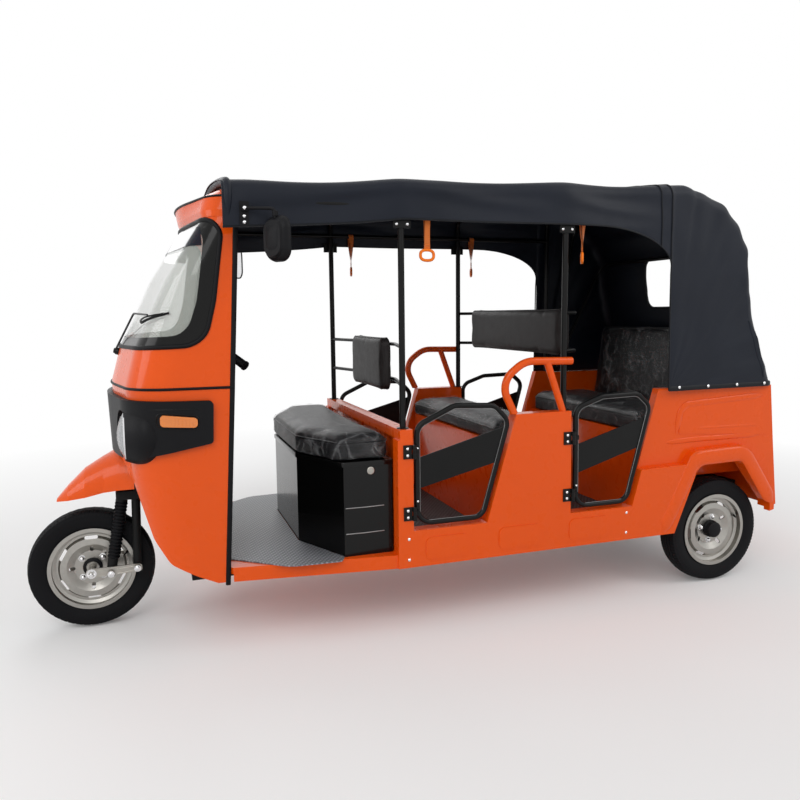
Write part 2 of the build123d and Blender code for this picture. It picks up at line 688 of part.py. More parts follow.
arch_insets = canopy_wall + roof_tube_radius + 1
Bow = namedtuple("Bow", "x shoulder crown foot")
bows = [
    Bow(canopy_front_x - 88, 1768, 1826, roof_rail_z),
    Bow(partition_x, 1808, 1861, roof_rail_z),
    Bow(middle_post_x, 1824, 1876, roof_rail_z),
    Bow(rear_arch_x - 50, 1836, 1886, tub_top + 8),
]
bow_half_width = valance_half_width - canopy_wall - roof_tube_radius - 27
Fold = namedtuple("Fold", "x z root")
folds = [
    Fold(rear_axle_x + 118, 1786, rear_arch_x - 80),
    Fold(rear_axle_x - 72, 1568, rear_arch_x - 110),
]
fold_half_width = bow_half_width - 14
fold_foot = 14.0
with BuildPart() as roof_bows:
    for bow in bows:
        shoulder_z = bow.shoulder - arch_insets - 6
        tube_run([(bow.x, -bow_half_width, bow.foot), (bow.x, -bow_half_width, shoulder_z),
                  (bow.x, 0, bow.crown - arch_insets - 6), (bow.x, bow_half_width, shoulder_z),
                  (bow.x, bow_half_width, bow.foot)], (38, 900, 38), roof_tube_radius)
    for side in (1, -1):
        rod((bows[0].x, side * post_centre, roof_rail_z), (bows[-1].x, side * post_centre, roof_rail_z),
            roof_rail_radius)
        span = sorted((side * (fold_half_width - 10), side * (fold_half_width + 10)))
        block((folds[-1].root - fold_foot, bows[-1].x), span, (bows[-1].foot, bows[-1].foot + 22))
    for fold in folds:
        root_z = bows[-1].foot + 12
        tube_run([(fold.root, -fold_half_width, root_z), (fold.x, -fold_half_width, fold.z),
                  (fold.x, fold_half_width, fold.z), (fold.root, fold_half_width, root_z)],
                 70, roof_tube_radius - 2)
save(roof_bows, "roof_bows")

# ---------------------------------------------------------------- cab
Level = namedtuple("Level", "z apex knee knee_width rear rear_width knee_round")
lower_levels = [
    Level(sill_bottom, 1272, 1152, 488, cab_rear_x, 500, 170),
    Level(690, 1325, 1225, 494, rear_axle_x + 2247, 503, 180),
    Level(cab_seam - seam_gap / 2, 1339, 1232, 497, rear_axle_x + 2228, 505, 170),
]
upper_levels = [
    Level(cab_seam + seam_gap / 2, 1339, 1232, 497, rear_axle_x + 2228, 505, 170),
    Level(1170, 1300, 1197, 496, rear_axle_x + 2220, 505, 165),
    Level(1440, 1166, 1078, 494, rear_axle_x + 2205, 504, 130),
    Level(1650, 1024, 952, 493, rear_axle_x + 2194, 503, 90),
]
visor_levels = [
    Level(1650, 1026, 955, 494, rear_axle_x + 2194, 503, 90),
    Level(1674, 1040, 956, 496, rear_axle_x + 2193, 503, 100),
    Level(1726, 1072, 932, 491, rear_axle_x + 2192, 500, 118),
    Level(1752, 1012, 892, 456, rear_axle_x + 2192, 468, 66),
    Level(1768, 945, 874, 400, rear_axle_x + 2192, 410, 38),
]
apex_round = 900.0
apex_slope = 1.03


def cab_section(level, inset, behind):
    """Plan of the cab at one level, inset by a wall and carried on behind its open back."""
    widening = (level.rear_width - level.knee_width) / (level.knee - level.rear)
    half = [(level.rear - behind, level.rear_width - inset + behind * widening),
            (level.knee - inset, level.knee_width - inset)]
    points = [*half, (level.apex - inset * apex_slope, 0), *((x, -y) for x, y in reversed(half))]
    rounds = (level.knee_round - inset, apex_round - inset, level.knee_round - inset)
    with BuildSketch(Plane.XY.offset(level.z)) as outline:
        with BuildLine():
            FilletPolyline(*points, radius=rounds)
            Line(points[-1], points[0])
        make_face()
    return outline.sketch


def cab_space(levels, inset, behind=0.0):
    """The closed volume inside the cab's skin, inset from its outer face."""
    with BuildPart() as space:
        loft([cab_section(level, inset, behind) for level in levels], ruled=True)
    return space.part


wheel_opening = [
    (cab_rear_x - 2, sill_bottom - 20), (rear_axle_x + 2383, 318), (rear_axle_x + 2479, 368),
    (rear_axle_x + 2534, 458), (rear_axle_x + 2600, 684), (rear_axle_x + 2662, 764),
    (front_axle_x + 60, 764), (front_axle_x + 60, sill_bottom - 20)]
band_foot = 757.0
band_side = [
    (rear_axle_x + 2305, 985), (rear_axle_x + 2900, 996), (rear_axle_x + 2900, band_foot),
    (rear_axle_x + 2654, band_foot), (rear_axle_x + 2578, 778), (rear_axle_x + 2311, 828)]
pod_centre = Vector(rear_axle_x + 2566, 370, 852)
pod_cut_x = rear_axle_x + 2618
lens_radius = (pod_radius**2 - (pod_cut_x - pod_centre.X) ** 2) ** 0.5
poles_along_x = (0, 90, 0)
mouth_margin = 3.0
mouth_seat = 10.0


def lamp_mouth(side):
    """The round opening in front of one headlamp, sunk a little into its pod."""
    face = Plane(origin=(pod_cut_x - mouth_seat, side * pod_centre.Y, pod_centre.Z), z_dir=(1, 0, 0))
    with BuildPart(face) as mouth:
        Cylinder(lens_radius + mouth_margin, 100, align=(Align.CENTER, Align.CENTER, Align.MIN))
    return mouth.part


def lamp_pod(side):
    """One headlamp's housing: a ball cut off before and behind, with the bowl for its reflector."""
    with BuildPart() as pod:
        with Locations((pod_centre.X, side * pod_centre.Y, pod_centre.Z)):
            Sphere(pod_radius, rotation=poles_along_x)
        reach = pod_radius + 20
        across = sorted((side * (pod_centre.Y - reach), side * (pod_centre.Y + reach)))
        upright = (pod_centre.Z - reach, pod_centre.Z + reach)
        block((pod_cut_x, pod_centre.X + reach), across, upright, Mode.SUBTRACT)
        block((pod_centre.X - reach, pod_centre.X - 40), across, upright, Mode.SUBTRACT)
        bowl = Plane(origin=(pod_cut_x + 0.01, side * pod_centre.Y, pod_centre.Z), z_dir=(-1, 0, 0))
        with Locations(bowl):
            Cone(lens_radius - 10, 34, 70, align=(Align.CENTER, Align.CENTER, Align.MIN),
                 mode=Mode.SUBTRACT)
    return pod.part


with BuildPart() as cab_lower:
    add(cab_space(lower_levels, 0))
    add(cab_space(lower_levels, cab_wall, 60), mode=Mode.SUBTRACT)
    extrude(side_outline(wheel_opening, 600, (0, 60, 60, 120, 30, 0, 0, 0)), amount=1200, mode=Mode.SUBTRACT)
    for side in (1, -1):
        with Locations((pod_centre.X, side * pod_centre.Y, pod_centre.Z)):
            Sphere(pod_radius + contact_gap, rotation=poles_along_x, mode=Mode.SUBTRACT)
        add(lamp_mouth(side), mode=Mode.SUBTRACT)
save(cab_lower, "cab_lower")

with BuildPart() as lamp_band:
    add(cab_space(lower_levels, -band_rise))
    add(cab_space(lower_levels, -contact_gap, 60), mode=Mode.SUBTRACT)
    extrude(side_outline(band_side, 700, (18, 0, 0, 30, 60, 14)), amount=1400, mode=Mode.INTERSECT)
    for side in (1, -1):
        add(lamp_mouth(side), mode=Mode.SUBTRACT)
        add(lamp_pod(side))
save(lamp_band, "lamp_band")

lens_rise = 30.0
lens_flat = 5.0
with BuildPart() as headlamp_lenses:
    for side in (1, -1):
        centre = (pod_cut_x + contact_gap, side * pod_centre.Y, pod_centre.Z)
        with BuildSketch(Plane(origin=centre, x_dir=(1, 0, 0), z_dir=(0, -1, 0))) as lens_section:
            with BuildLine():
                lens_back = lens_rise - lens_wall
                ThreePointArc((0, lens_radius), (0.75 * lens_rise, 0.5 * lens_radius), (lens_rise, lens_flat))
                Polyline((lens_rise, lens_flat), (lens_rise, 0), (lens_back, 0), (lens_back, lens_flat))
                ThreePointArc((lens_back, lens_flat), (0.75 * lens_back, 0.5 * lens_radius),
                              (0, lens_radius - 2 * lens_wall))
                Line((0, lens_radius - 2 * lens_wall), (0, lens_radius))
            make_face()
        revolve(lens_section.sketch, axis=Axis(centre, (1, 0, 0)))
save(headlamp_lenses, "headlamp_lenses")

signal_side = [(rear_axle_x + 2365, 890), (rear_axle_x + 2365, 926), (rear_axle_x + 2495, 942),
               (rear_axle_x + 2495, 899)]
with BuildPart() as turn_signals:
    add(cab_space(lower_levels, -band_rise - signal_rise))
    add(cab_space(lower_levels, -band_rise - contact_gap, 60), mode=Mode.SUBTRACT)
    extrude(side_outline(signal_side, 700, 14), amount=1400, mode=Mode.INTERSECT)
save(turn_signals, "turn_signals")

glass_side = [
    (rear_axle_x + 2384, 1186), (rear_axle_x + 2321, 1216), (rear_axle_x + 2288, 1349),
    (rear_axle_x + 2253, 1596), (rear_axle_x + 2288, 1640), (rear_axle_x + 2700, 1652),
    (rear_axle_x + 2700, 1172)]
glass_rounds = (90, 95, 300, 55, 55, 0, 0)
with BuildPart() as cab_upper:
    add(cab_space(upper_levels, 0))
    add(cab_space(upper_levels, cab_wall, 60), mode=Mode.SUBTRACT)
    extrude(side_outline(glass_side, 600, glass_rounds), amount=1200, mode=Mode.SUBTRACT)
    add(cab_space(visor_levels, 0))
    shorter = [*visor_levels[:-1], visor_levels[-1]._replace(z=visor_levels[-1].z - cab_wall)]
    add(cab_space(shorter, cab_wall + 1, 60), mode=Mode.SUBTRACT)
save(cab_upper, "cab_upper")

with BuildPart() as windshield:
    add(cab_space(upper_levels, 0.5))
    add(cab_space(upper_levels, 0.5 + glass_wall, 60), mode=Mode.SUBTRACT)
    with BuildSketch(Plane.XZ.offset(-600)) as glass_outline:
        add(side_outline(glass_side, 600, glass_rounds))
        offset(amount=-glass_gap)
    extrude(glass_outline.sketch, amount=1200, mode=Mode.INTERSECT)
save(windshield, "windshield")

Arch = namedtuple("Arch", "x half_width low high")
fender_arches = [
    Arch(rear_axle_x + 2600, 190, 606, 762),
    Arch(rear_axle_x + 2655, 155, 598, 750),
    Arch(rear_axle_x + 2720, 122, 586, 716),
    Arch(rear_axle_x + 2792, 98, 566, 672),
    Arch(rear_axle_x + 2860, 66, 552, 604),
    Arch(rear_axle_x + 2905, 26, 543, 552),
]


def fender_section(arch, inset, drop):
    """Cross-section of the fender: a bowed arch over a straight chord."""
    width, low, high = arch.half_width - inset, arch.low - drop, arch.high - inset
    with BuildSketch(Plane.YZ.offset(arch.x)) as outline:
        with BuildLine():
            shoulder = (0.72 * width, low + 0.72 * (high - low))
            ThreePointArc((-width, low), (-shoulder[0], shoulder[1]), (0, high))
            ThreePointArc((0, high), shoulder, (width, low))
            Line((width, low), (-width, low))
        make_face()
    return outline.sketch


with BuildPart() as fender_bracket:
    block((rear_axle_x + 2625, rear_axle_x + 2700), (-40, 40), (746, 796))
    add(cab_space(lower_levels, cab_wall + contact_gap, 200), mode=Mode.INTERSECT)

with BuildPart() as front_fender:
    add(fender_bracket.part)
    loft([fender_section(arch, 0, 0) for arch in fender_arches], ruled=True)
    inner_arches = fender_arches[:-1]
    loft([fender_section(arch, cab_wall, 8) for arch in inner_arches], ruled=True, mode=Mode.SUBTRACT)
    block((rear_axle_x + 2590, rear_axle_x + 2600.5), (-250, 250), (500, 800), Mode.SUBTRACT)
save(front_fender, "front_fender")

dash_side = [
    (floor_front_x - 5, floor_top), (steer_foot.X - 140, 640), (steer_foot.X - 110, 1000),
    (steer_foot.X - 90, 1108), (steer_foot.X - 20, 1132), (steer_foot.X - 20, 1126),
    (steer_foot.X - 86, 1103), (steer_foot.X - 105, 1000), (steer_foot.X - 135, 640),
    (floor_front_x, floor_top)]
with BuildPart() as dashboard:
    extrude(side_outline(dash_side, 560), amount=1120)
    cavity_levels = [*lower_levels, *upper_levels[1:]]
    add(cab_space(cavity_levels, cab_wall + contact_gap, 200), mode=Mode.INTERSECT)
    rod(on_steering_axis(150), on_steering_axis(450), 34, Mode.SUBTRACT)
save(dashboard, "dashboard")

# ---------------------------------------------------------------- grab rails, straps and mirrors
grab_plane = side_half_width - 16
with BuildPart() as grab_rails:
    foot_x = rear_axle_x + 1107
    hoop = [(foot_x, grab_plane, waist), (rear_axle_x + 1172, grab_plane, 1010),
            (rear_axle_x + 1060, grab_plane, 1094), (middle_post_x - 20, grab_plane, 1089)]
    tube_run(hoop, (85, 120), grab_radius)
    rod((rear_axle_x + 956, grab_plane, 1090), (rear_axle_x + 878, grab_plane, waist), grab_radius - 1)
    block((middle_post_x - 40, foot_x + 60), (grab_plane - 30, grab_plane + 30), (waist - 40, waist),
          Mode.SUBTRACT)
    mirror(about=Plane.XZ)
save(grab_rails, "grab_rails")

strap_width = 25.0
strap_sheet = 3.0
strap_drop = 155.0
ring_round = 24.0
with BuildPart() as hand_straps:
    for x in (partition_x - 108, middle_post_x - 80):
        rail_low = roof_rail_z - roof_rail_radius
        block((x - strap_width / 2, x + strap_width / 2),
              (post_centre - strap_sheet / 2, post_centre + strap_sheet / 2),
              (rail_low - strap_drop, rail_low - contact_gap))
        with BuildSketch(Plane.XZ.offset(-(post_centre + 5))) as ring:
            with Locations((x, rail_low - strap_drop - ring_round + 8)):
                Ellipse(34, ring_round)
                Ellipse(24, ring_round - 9, mode=Mode.SUBTRACT)
        extrude(ring.sketch, amount=10)
    mirror(about=Plane.XZ)
save(hand_straps, "hand_straps")

mirror_centre = Vector(rear_axle_x + 2078, 628, 1562)
mirror_turn = radians(33)
bracket_x = rear_axle_x + 2180
bracket_inner = side_half_width - 15.6
mirror_ahead = Vector(cos(mirror_turn), sin(mirror_turn), 0)
with BuildPart() as mirrors:
    head_plane = Plane(origin=mirror_centre - mirror_ahead * 16, x_dir=(-mirror_ahead.Y, mirror_ahead.X, 0),
                       z_dir=mirror_ahead)
    with BuildSketch(head_plane) as head_back:
        RectangleRounded(118, 160, 46)
    with BuildSketch(head_plane.offset(36)) as head_front:
        RectangleRounded(84, 124, 36)
    loft([head_back.sketch, head_front.sketch], ruled=True)
    tube_run([(bracket_x, bracket_inner + 14, 1668), (mirror_centre.X, mirror_centre.Y, 1666),
              (mirror_centre.X, mirror_centre.Y, 1600)], 18, 6)
    block((bracket_x - 16, bracket_x + 16), (bracket_inner, bracket_inner + 6), (1604, 1692))
    block((bracket_x - 10, bracket_x + 10), (bracket_inner + 5, bracket_inner + 18), (1658, 1678))
    mirror(about=Plane.XZ)
save(mirrors, "mirrors")

# ---------------------------------------------------------------- doors
Door = namedtuple("Door", "name pin_x corners band hinge_heights")
door_kinds = [
    Door("front", partition_x - 29,
         [(rear_axle_x + 1549, 448), (rear_axle_x + 1549, 860), (rear_axle_x + 1379, 938),
          (rear_axle_x + 1194, 929), (rear_axle_x + 1124, 855), (rear_axle_x + 1243, 448)],
         (724, 599, 832, 684), (755, 506)),
    Door("rear", middle_post_x - 22,
         [(rear_axle_x + 822, 448), (rear_axle_x + 826, 894), (rear_axle_x + 685, 942),
          (rear_axle_x + 501, 947), (rear_axle_x + 425, 882), (rear_axle_x + 542, 448)],
         (728, 602, 833, 699), (762, 516)),
]
door_bends = (55, 65, 55, 65, 60, 50)


def tube_path(corners):
    """Centre line of a door's frame, one tube radius inside its outline."""
    with BuildSketch() as outline:
        with BuildLine():
            Polyline(*corners, close=True)
        make_face()
        offset(amount=-door_tube_radius, kind=Kind.INTERSECTION)
    wire = outline.sketch.faces()[0].outer_wire()
    return [tuple(edge @ 0)[:2] for edge in wire.order_edges()]


def make_door(door):
    """A bent tube frame with a slanting sheet band and the moving knuckles of its two hinges."""
    centre = tube_path(door.corners)
    with BuildPart() as frame:
        tube_run([(x, door_plane, z) for x, z in centre], door_bends, door_tube_radius, close=True)
        front_x = door.corners[0][0] - door_tube_radius
        rear_top = door.corners[4]
        rear_foot = door.corners[5]

        def rear_edge(z):
            share = (z - rear_foot[1]) / (rear_top[1] - rear_foot[1])
            return rear_foot[0] + share * (rear_top[0] - rear_foot[0]) + door_tube_radius

        front_high, front_low, rear_high, rear_low = door.band
        band = [(front_x, front_high), (rear_edge(rear_high), rear_high), (rear_edge(rear_low), rear_low),
                (front_x, front_low)]
        extrude(side_outline(band, door_plane + band_wall / 2), amount=band_wall)
        pin = (door.pin_x, hinge_plane)
        for z in door.hinge_heights:
            low, high = z - knuckle_length / 2, z + knuckle_length / 2
            rod((*pin, low), (*pin, high), knuckle_radius)
            block((front_x - 4, door.pin_x), (hinge_plane - 12, hinge_plane - 5), (low, high))
            rod((*pin, low - 1), (*pin, high + 1), hinge_pin_radius + running_gap, Mode.SUBTRACT)
    return frame


with BuildPart() as door_hinges:
    for door in door_kinds:
        pin = (door.pin_x, hinge_plane)
        leaf_start = door.pin_x + knuckle_radius + 0.5
        for z in door.hinge_heights:
            reach = knuckle_length * 1.5 + knuckle_gap
            block((leaf_start, door.pin_x + leaf_length), (side_half_width, side_half_width + hinge_leaf),
                  (z - reach, z + reach))
            for low, high in ((z - reach, z - knuckle_length / 2 - knuckle_gap),
                              (z + knuckle_length / 2 + knuckle_gap, z + reach)):
                rod((*pin, low), (*pin, high), knuckle_radius)
                block((door.pin_x, leaf_start), (side_half_width + 1, side_half_width + hinge_leaf),
                      (low, high))
            rod((*pin, z - reach), (*pin, z + reach), hinge_pin_radius)
    mirror(about=Plane.XZ)
save(door_hinges, "door_hinges")

for door in door_kinds:
    left = make_door(door)
    save(left, f"{door.name}_door_left")
    with BuildPart() as right:
        mirror(left.part, about=Plane.XZ)
    save(right, f"{door.name}_door_right")
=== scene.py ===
import math

import bmesh
import bpy
import numpy as np
from mathutils import Matrix, Vector, noise


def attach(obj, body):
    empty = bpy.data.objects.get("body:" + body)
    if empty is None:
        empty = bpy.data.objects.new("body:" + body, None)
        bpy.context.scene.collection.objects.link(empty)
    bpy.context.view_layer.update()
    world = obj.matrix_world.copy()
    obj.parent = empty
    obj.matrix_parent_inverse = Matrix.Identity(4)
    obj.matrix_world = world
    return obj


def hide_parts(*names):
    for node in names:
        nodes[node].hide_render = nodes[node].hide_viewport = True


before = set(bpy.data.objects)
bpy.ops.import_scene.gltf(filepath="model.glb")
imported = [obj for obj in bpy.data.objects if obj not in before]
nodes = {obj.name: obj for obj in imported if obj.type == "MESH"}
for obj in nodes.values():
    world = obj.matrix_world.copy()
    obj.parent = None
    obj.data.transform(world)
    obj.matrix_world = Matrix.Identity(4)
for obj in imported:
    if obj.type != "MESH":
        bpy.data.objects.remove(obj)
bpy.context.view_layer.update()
scene = bpy.context.scene
print("frame loaded")

# places that several pieces share, in metres
rearAxleX = -1.35
frontAxleX = 1.434
axleZ = 0.25
wheelY = 0.485
partitionX = rearAxleX + 1.585
middlePostX = rearAxleX + 0.858
floorZ = 0.34


class Wire:  # a socket that takes part in Python expressions
    def __init__(self, recipe, socket):
        self.recipe, self.socket = recipe, socket

    def calc(self, operation, first, second=0.0, clamp=False):
        return self.recipe.node("ShaderNodeMath", {"operation": operation, "use_clamp": clamp}, {0: first, 1: second})

    def __add__(self, other):
        return self.calc("ADD", self, other)

    def __radd__(self, other):
        return self.calc("ADD", other, self)

    def __sub__(self, other):
        return self.calc("SUBTRACT", self, other)

    def __rsub__(self, other):
        return self.calc("SUBTRACT", other, self)

    def __mul__(self, other):
        return self.calc("MULTIPLY", self, other)

    def __rmul__(self, other):
        return self.calc("MULTIPLY", other, self)

    def clipped(self):
        return self.calc("ADD", self, 0.0, clamp=True)


def plug(recipe, value, socket):
    if isinstance(value, Wire):
        recipe.tree.links.new(value.socket, socket)
    elif isinstance(value, (tuple, list)) and len(value) == 3 and socket.type == "RGBA":
        socket.default_value = (*value, 1.0)
    else:
        socket.default_value = value


class Recipe:  # a node tree, and the few patterns that the finishes are made of
    def __init__(self, tree):
        self.tree = tree
        tree.nodes.clear()

    def node(self, kind, settings=None, sockets=None, output=0):
        made = self.tree.nodes.new(kind)
        for key, value in (settings or {}).items():
            setattr(made, key, value)
        for key, value in (sockets or {}).items():
            plug(self, value, made.inputs[key])
        return Wire(self, made.outputs[output]) if made.outputs else made

    def place(self, scale=(1, 1, 1), turn=(0, 0, 0)):
        coords = self.node("ShaderNodeTexCoord", output="Object")
        return self.node("ShaderNodeMapping", None, {"Vector": coords, "Scale": scale, "Rotation": turn})

    def grain(self, scale, detail=3.0, where=None, roughness=0.5):
        return self.node("ShaderNodeTexNoise", None, {
            "Vector": where or self.place(), "Scale": scale, "Detail": detail, "Roughness": roughness})

    def cells(self, scale, where=None, feature="F1"):
        return self.node("ShaderNodeTexVoronoi", {"feature": feature},
                         {"Vector": where or self.place(), "Scale": scale},
                         "Distance")

    def waves(self, scale, direction="X", where=None, distortion=0.0):
        return self.node("ShaderNodeTexWave", {"bands_direction": direction}, {
            "Vector": where or self.place(), "Scale": scale, "Distortion": distortion, "Detail": 0.0})

    def blendColors(self, factor, first, second):
        return self.node("ShaderNodeMix", {"data_type": "RGBA"}, {0: factor, 6: first, 7: second}, 2)


class Finish(Recipe):  # a material in the making, with its Principled shader
    def __init__(self, name, **values):
        self.material = bpy.data.materials.new(name)
        self.material.use_nodes = True
        super().__init__(self.material.node_tree)
        surface = self.node("ShaderNodeBsdfPrincipled")
        self.shader = surface.socket.node
        self.node("ShaderNodeOutputMaterial", None, {"Surface": surface})
        self.put(**values)

    def put(self, **values):
        names = {"color": "Base Color", "coat": "Coat Weight", "coatRoughness": "Coat Roughness",
                 "sheen": "Sheen Weight", "sheenRoughness": "Sheen Roughness", "ior": "IOR",
                 "specular": "Specular IOR Level"}
        for key, value in values.items():
            plug(self, value, self.shader.inputs[names.get(key, key.capitalize())])
        return self

    def bump(self, height, strength=0.2, distance=0.001):
        relief = self.node("ShaderNodeBump", None, {"Height": height, "Strength": strength, "Distance": distance})
        plug(self, relief, self.shader.inputs["Normal"])
        return self


def paintFinish(name, color, coat=1.0, roughness=0.28):
    finish = Finish(name, coat=coat, coatRoughness=0.06, metallic=0.0, specular=0.12)
    shade = tuple(value * 0.95 for value in color)
    finish.put(color=finish.blendColors(finish.grain(1.5, 1.0), shade, color))
    finish.put(roughness=finish.grain(20.0, 1.0) * 0.06 + (roughness - 0.03))
    return finish.bump(finish.grain(9.0, 1.0), 0.05, 0.002).material


def satinFinish(name, color, roughness=0.4, metallic=0.0, coat=0.0, scale=180.0, strength=0.12):
    finish = Finish(name, metallic=metallic, coat=coat, specular=0.16)
    spots = finish.grain(14.0, 4.0)
    pale = tuple(min(1.0, value * 1.25 + 0.001) for value in color)
    finish.put(color=finish.blendColors(spots, color, pale))
    finish.put(roughness=finish.grain(45.0) * 0.16 + (roughness - 0.08))
    return finish.bump(finish.grain(scale, 3.0), strength, 0.0006).material


def grainedFinish(name, color, scale=650.0, roughness=0.5):
    finish = Finish(name, specular=0.16)
    pits = finish.cells(scale, feature="SMOOTH_F1")
    tone = tuple(value * 1.4 + 0.001 for value in color)
    finish.put(color=finish.blendColors(finish.grain(9.0), color, tone))
    finish.put(roughness=roughness + pits * 0.15 - 0.06)
    return finish.bump(pits + finish.grain(90.0) * 0.4, 0.22, 0.0005).material


def vinylFinish(name, color, roughness=0.42, scale=420.0, sheen=0.0):
    finish = Finish(name, sheen=sheen, specular=0.2)
    wrinkles = finish.cells(scale, feature="DISTANCE_TO_EDGE")
    pale = tuple(value * 1.5 + 0.001 for value in color)
    finish.put(color=finish.blendColors(finish.grain(6.0, 4.0), color, pale))
    finish.put(roughness=finish.grain(30.0) * 0.14 + (roughness - 0.07))
    return finish.bump((wrinkles * 3.0).clipped() + finish.grain(18.0) * 0.8, 0.16, 0.0007).material


def coatedCloth(name, color, pale, roughness=0.46):
    finish = Finish(name, specular=0.2)
    warp = finish.waves(420.0, "X") * finish.waves(420.0, "Z")
    clouds = finish.grain(2.2, 5.0)
    finish.put(color=finish.blendColors((clouds * 1.6 - 0.4).clipped(), color, pale))
    finish.put(roughness=roughness + clouds * 0.12 - 0.06)
    return finish.bump(warp * 0.35 + finish.grain(11.0, 4.0), 0.2, 0.0015).material


def rubberFinish(name, color, roughness=0.62):
    finish = Finish(name, specular=0.14)
    dust = (finish.grain(7.0, 5.0) * 1.5 - 0.45).clipped()
    finish.put(color=finish.blendColors(dust, color, tuple(value * 1.5 + 0.002 for value in color)))
    finish.put(roughness=roughness + dust * 0.12)
    return finish.bump(finish.grain(300.0, 2.0), 0.15, 0.0005).material


def matFinish(name, color, roughness):  # rubber sheet with a pressed diamond pattern
    finish = Finish(name, specular=0.4)
    cross = [finish.waves(20.0, "X", finish.place(turn=(0, 0, turn))) for turn in (0.62, -0.62)]
    studs = cross[0] * cross[1]
    worn = finish.grain(3.0, 4.0)
    # painted highlight and shade: the raised diamonds are painted paler and the grooves darker; the worn noise is real
    # wear
    dark, pale = (tuple(value * share for value in color) for share in (0.55, 1.5))
    finish.put(color=finish.blendColors((studs * 1.3 + worn * 0.3 - 0.1).clipped(), dark, pale))
    finish.put(roughness=roughness + worn * 0.15)
    return finish.bump(studs, 0.8, 0.003).material


def metalFinish(name, color, roughness=0.3, scale=60.0):
    finish = Finish(name, metallic=1.0)
    marks = finish.grain(scale, 4.0)
    finish.put(color=finish.blendColors(marks, tuple(value * 0.8 for value in color), color))
    finish.put(roughness=marks * 0.22 + (roughness - 0.1))
    return finish.bump(finish.grain(380.0, 2.0), 0.05, 0.0004).material


def clearFinish(name, tint, alpha, roughness=0.03, bumpScale=0.0, coat=1.0):
    finish = Finish(name, color=tint, roughness=roughness, ior=1.5, coat=coat, specular=0.6 * coat)
    smears = finish.grain(4.0, 3.0)
    finish.put(alpha=(smears * 0.12 + (alpha - 0.06)).clipped())
    if bumpScale:
        finish.bump(finish.grain(bumpScale, 4.0), 0.4, 0.002)
    return finish.material


def filmFinish(name):
    finish = Finish(name, specular=0.8, ior=1.5)
    creases = finish.cells(6.5, finish.node("ShaderNodeVectorMath", {"operation": "ADD"}, {
        0: finish.place((1.0, 1.7, 1.0)), 1: finish.grain(5.0, 2.0)}), "DISTANCE_TO_EDGE")
    # painted light: the crease lines are painted pale, as highlights along the creases, and the film turns more opaque
    # along them and in broad patches, as a painted sheen
    lines = (1.0 - creases * 11.0).clipped()
    fold = finish.grain(7.0, 2.0)
    paintedSheen = ((fold - 0.52) * 3.5).clipped()
    finish.put(color=finish.blendColors(lines, (0.34, 0.34, 0.34), (0.80, 0.81, 0.83)))
    finish.put(alpha=(lines * 0.08 + paintedSheen * 0.20 + 0.04).clipped())
    finish.put(roughness=fold * 0.16 + 0.06)
    return finish.bump(lines * 0.8 + fold, 0.5, 0.006).material


def weaveFinish(name, color):
    finish = Finish(name, sheen=0.3, roughness=0.7)
    threads = finish.waves(260.0, "Z") * finish.waves(300.0, "X")
    finish.put(color=finish.blendColors(threads, tuple(value * 0.72 for value in color), color))
    return finish.bump(threads, 0.5, 0.0008).material


finishes = {
    "orange": paintFinish("orangeGloss", (0.86, 0.095, 0.002), 0.32),
    "gloss": paintFinish("blackGloss", (0.002, 0.002, 0.002), 0.3, 0.22),
    "frameBlack": satinFinish("frameSatin", (0.003, 0.003, 0.003), 0.34, 0.0, 0.08),
    "chassis": satinFinish("chassisPaint", (0.007, 0.007, 0.007), 0.55),
    "plastic": grainedFinish("grainedPlastic", (0.003, 0.003, 0.004)),
    "seat": vinylFinish("seatVinyl", (0.003, 0.003, 0.004)),
    "pad": vinylFinish("padVinyl", (0.012, 0.010, 0.010), 0.48),
    "canopy": coatedCloth("canopyCloth", (0.004, 0.006, 0.012), (0.009, 0.012, 0.021)),
    "binding": coatedCloth("bindingTape", (0.003, 0.004, 0.006), (0.006, 0.007, 0.010), 0.5),
    "webbing": weaveFinish("orangeWebbing", (0.86, 0.19, 0.010)),
    "tyre": rubberFinish("tyreRubber", (0.004, 0.004, 0.005)),
    "seal": rubberFinish("sealRubber", (0.003, 0.003, 0.004), 0.45),
    "mat": matFinish("greyMat", (0.23, 0.24, 0.26), 0.30),
    "darkMat": matFinish("blackMat", (0.006, 0.006, 0.007), 0.42),
    "rim": metalFinish("silverPaint", (0.43, 0.415, 0.385), 0.34),
    "zinc": metalFinish("zincPlate", (0.46, 0.44, 0.40), 0.36),
    "chrome": metalFinish("brightChrome", (0.85, 0.85, 0.86), 0.12),
    "casting": satinFinish("axleCasting", (0.014, 0.014, 0.015), 0.6, 0.3, 0.0, 90.0, 0.4),
    "spring": satinFinish("springSteel", (0.020, 0.020, 0.022), 0.5, 0.6),
    "glass": clearFinish("windshieldGlass", (0.60, 0.64, 0.58), 0.30),
    "frit": paintFinish("fritBlack", (0.002, 0.002, 0.002), 0.22, 0.2),
    "sunBand": clearFinish("sunBand", (0.006, 0.010, 0.020), 0.92, coat=0.1),
    "lens": clearFinish("clearLens", (0.86, 0.88, 0.9), 0.3, 0.05, 160.0),
    "window": clearFinish("windowFilm", (0.9, 0.92, 0.93), 0.16, 0.08, 9.0),
    "ringPlastic": grainedFinish("ringPlastic", (0.80, 0.17, 0.012), 300.0, 0.38),
    "edging": metalFinish("paleEdging", (0.34, 0.34, 0.34), 0.40),
    "platePaint": satinFinish("blankPlate", (0.62, 0.62, 0.60), 0.4),
    "amber": clearFinish("amberLens", (0.85, 0.22, 0.006), 0.94, 0.08),
    "red": clearFinish("redLens", (0.42, 0.006, 0.006), 0.95, 0.1, 200.0),
    "battery": grainedFinish("batteryCase", (0.012, 0.012, 0.014)),
    "film": filmFinish("clearFilm"),
}
print("finishes ready")

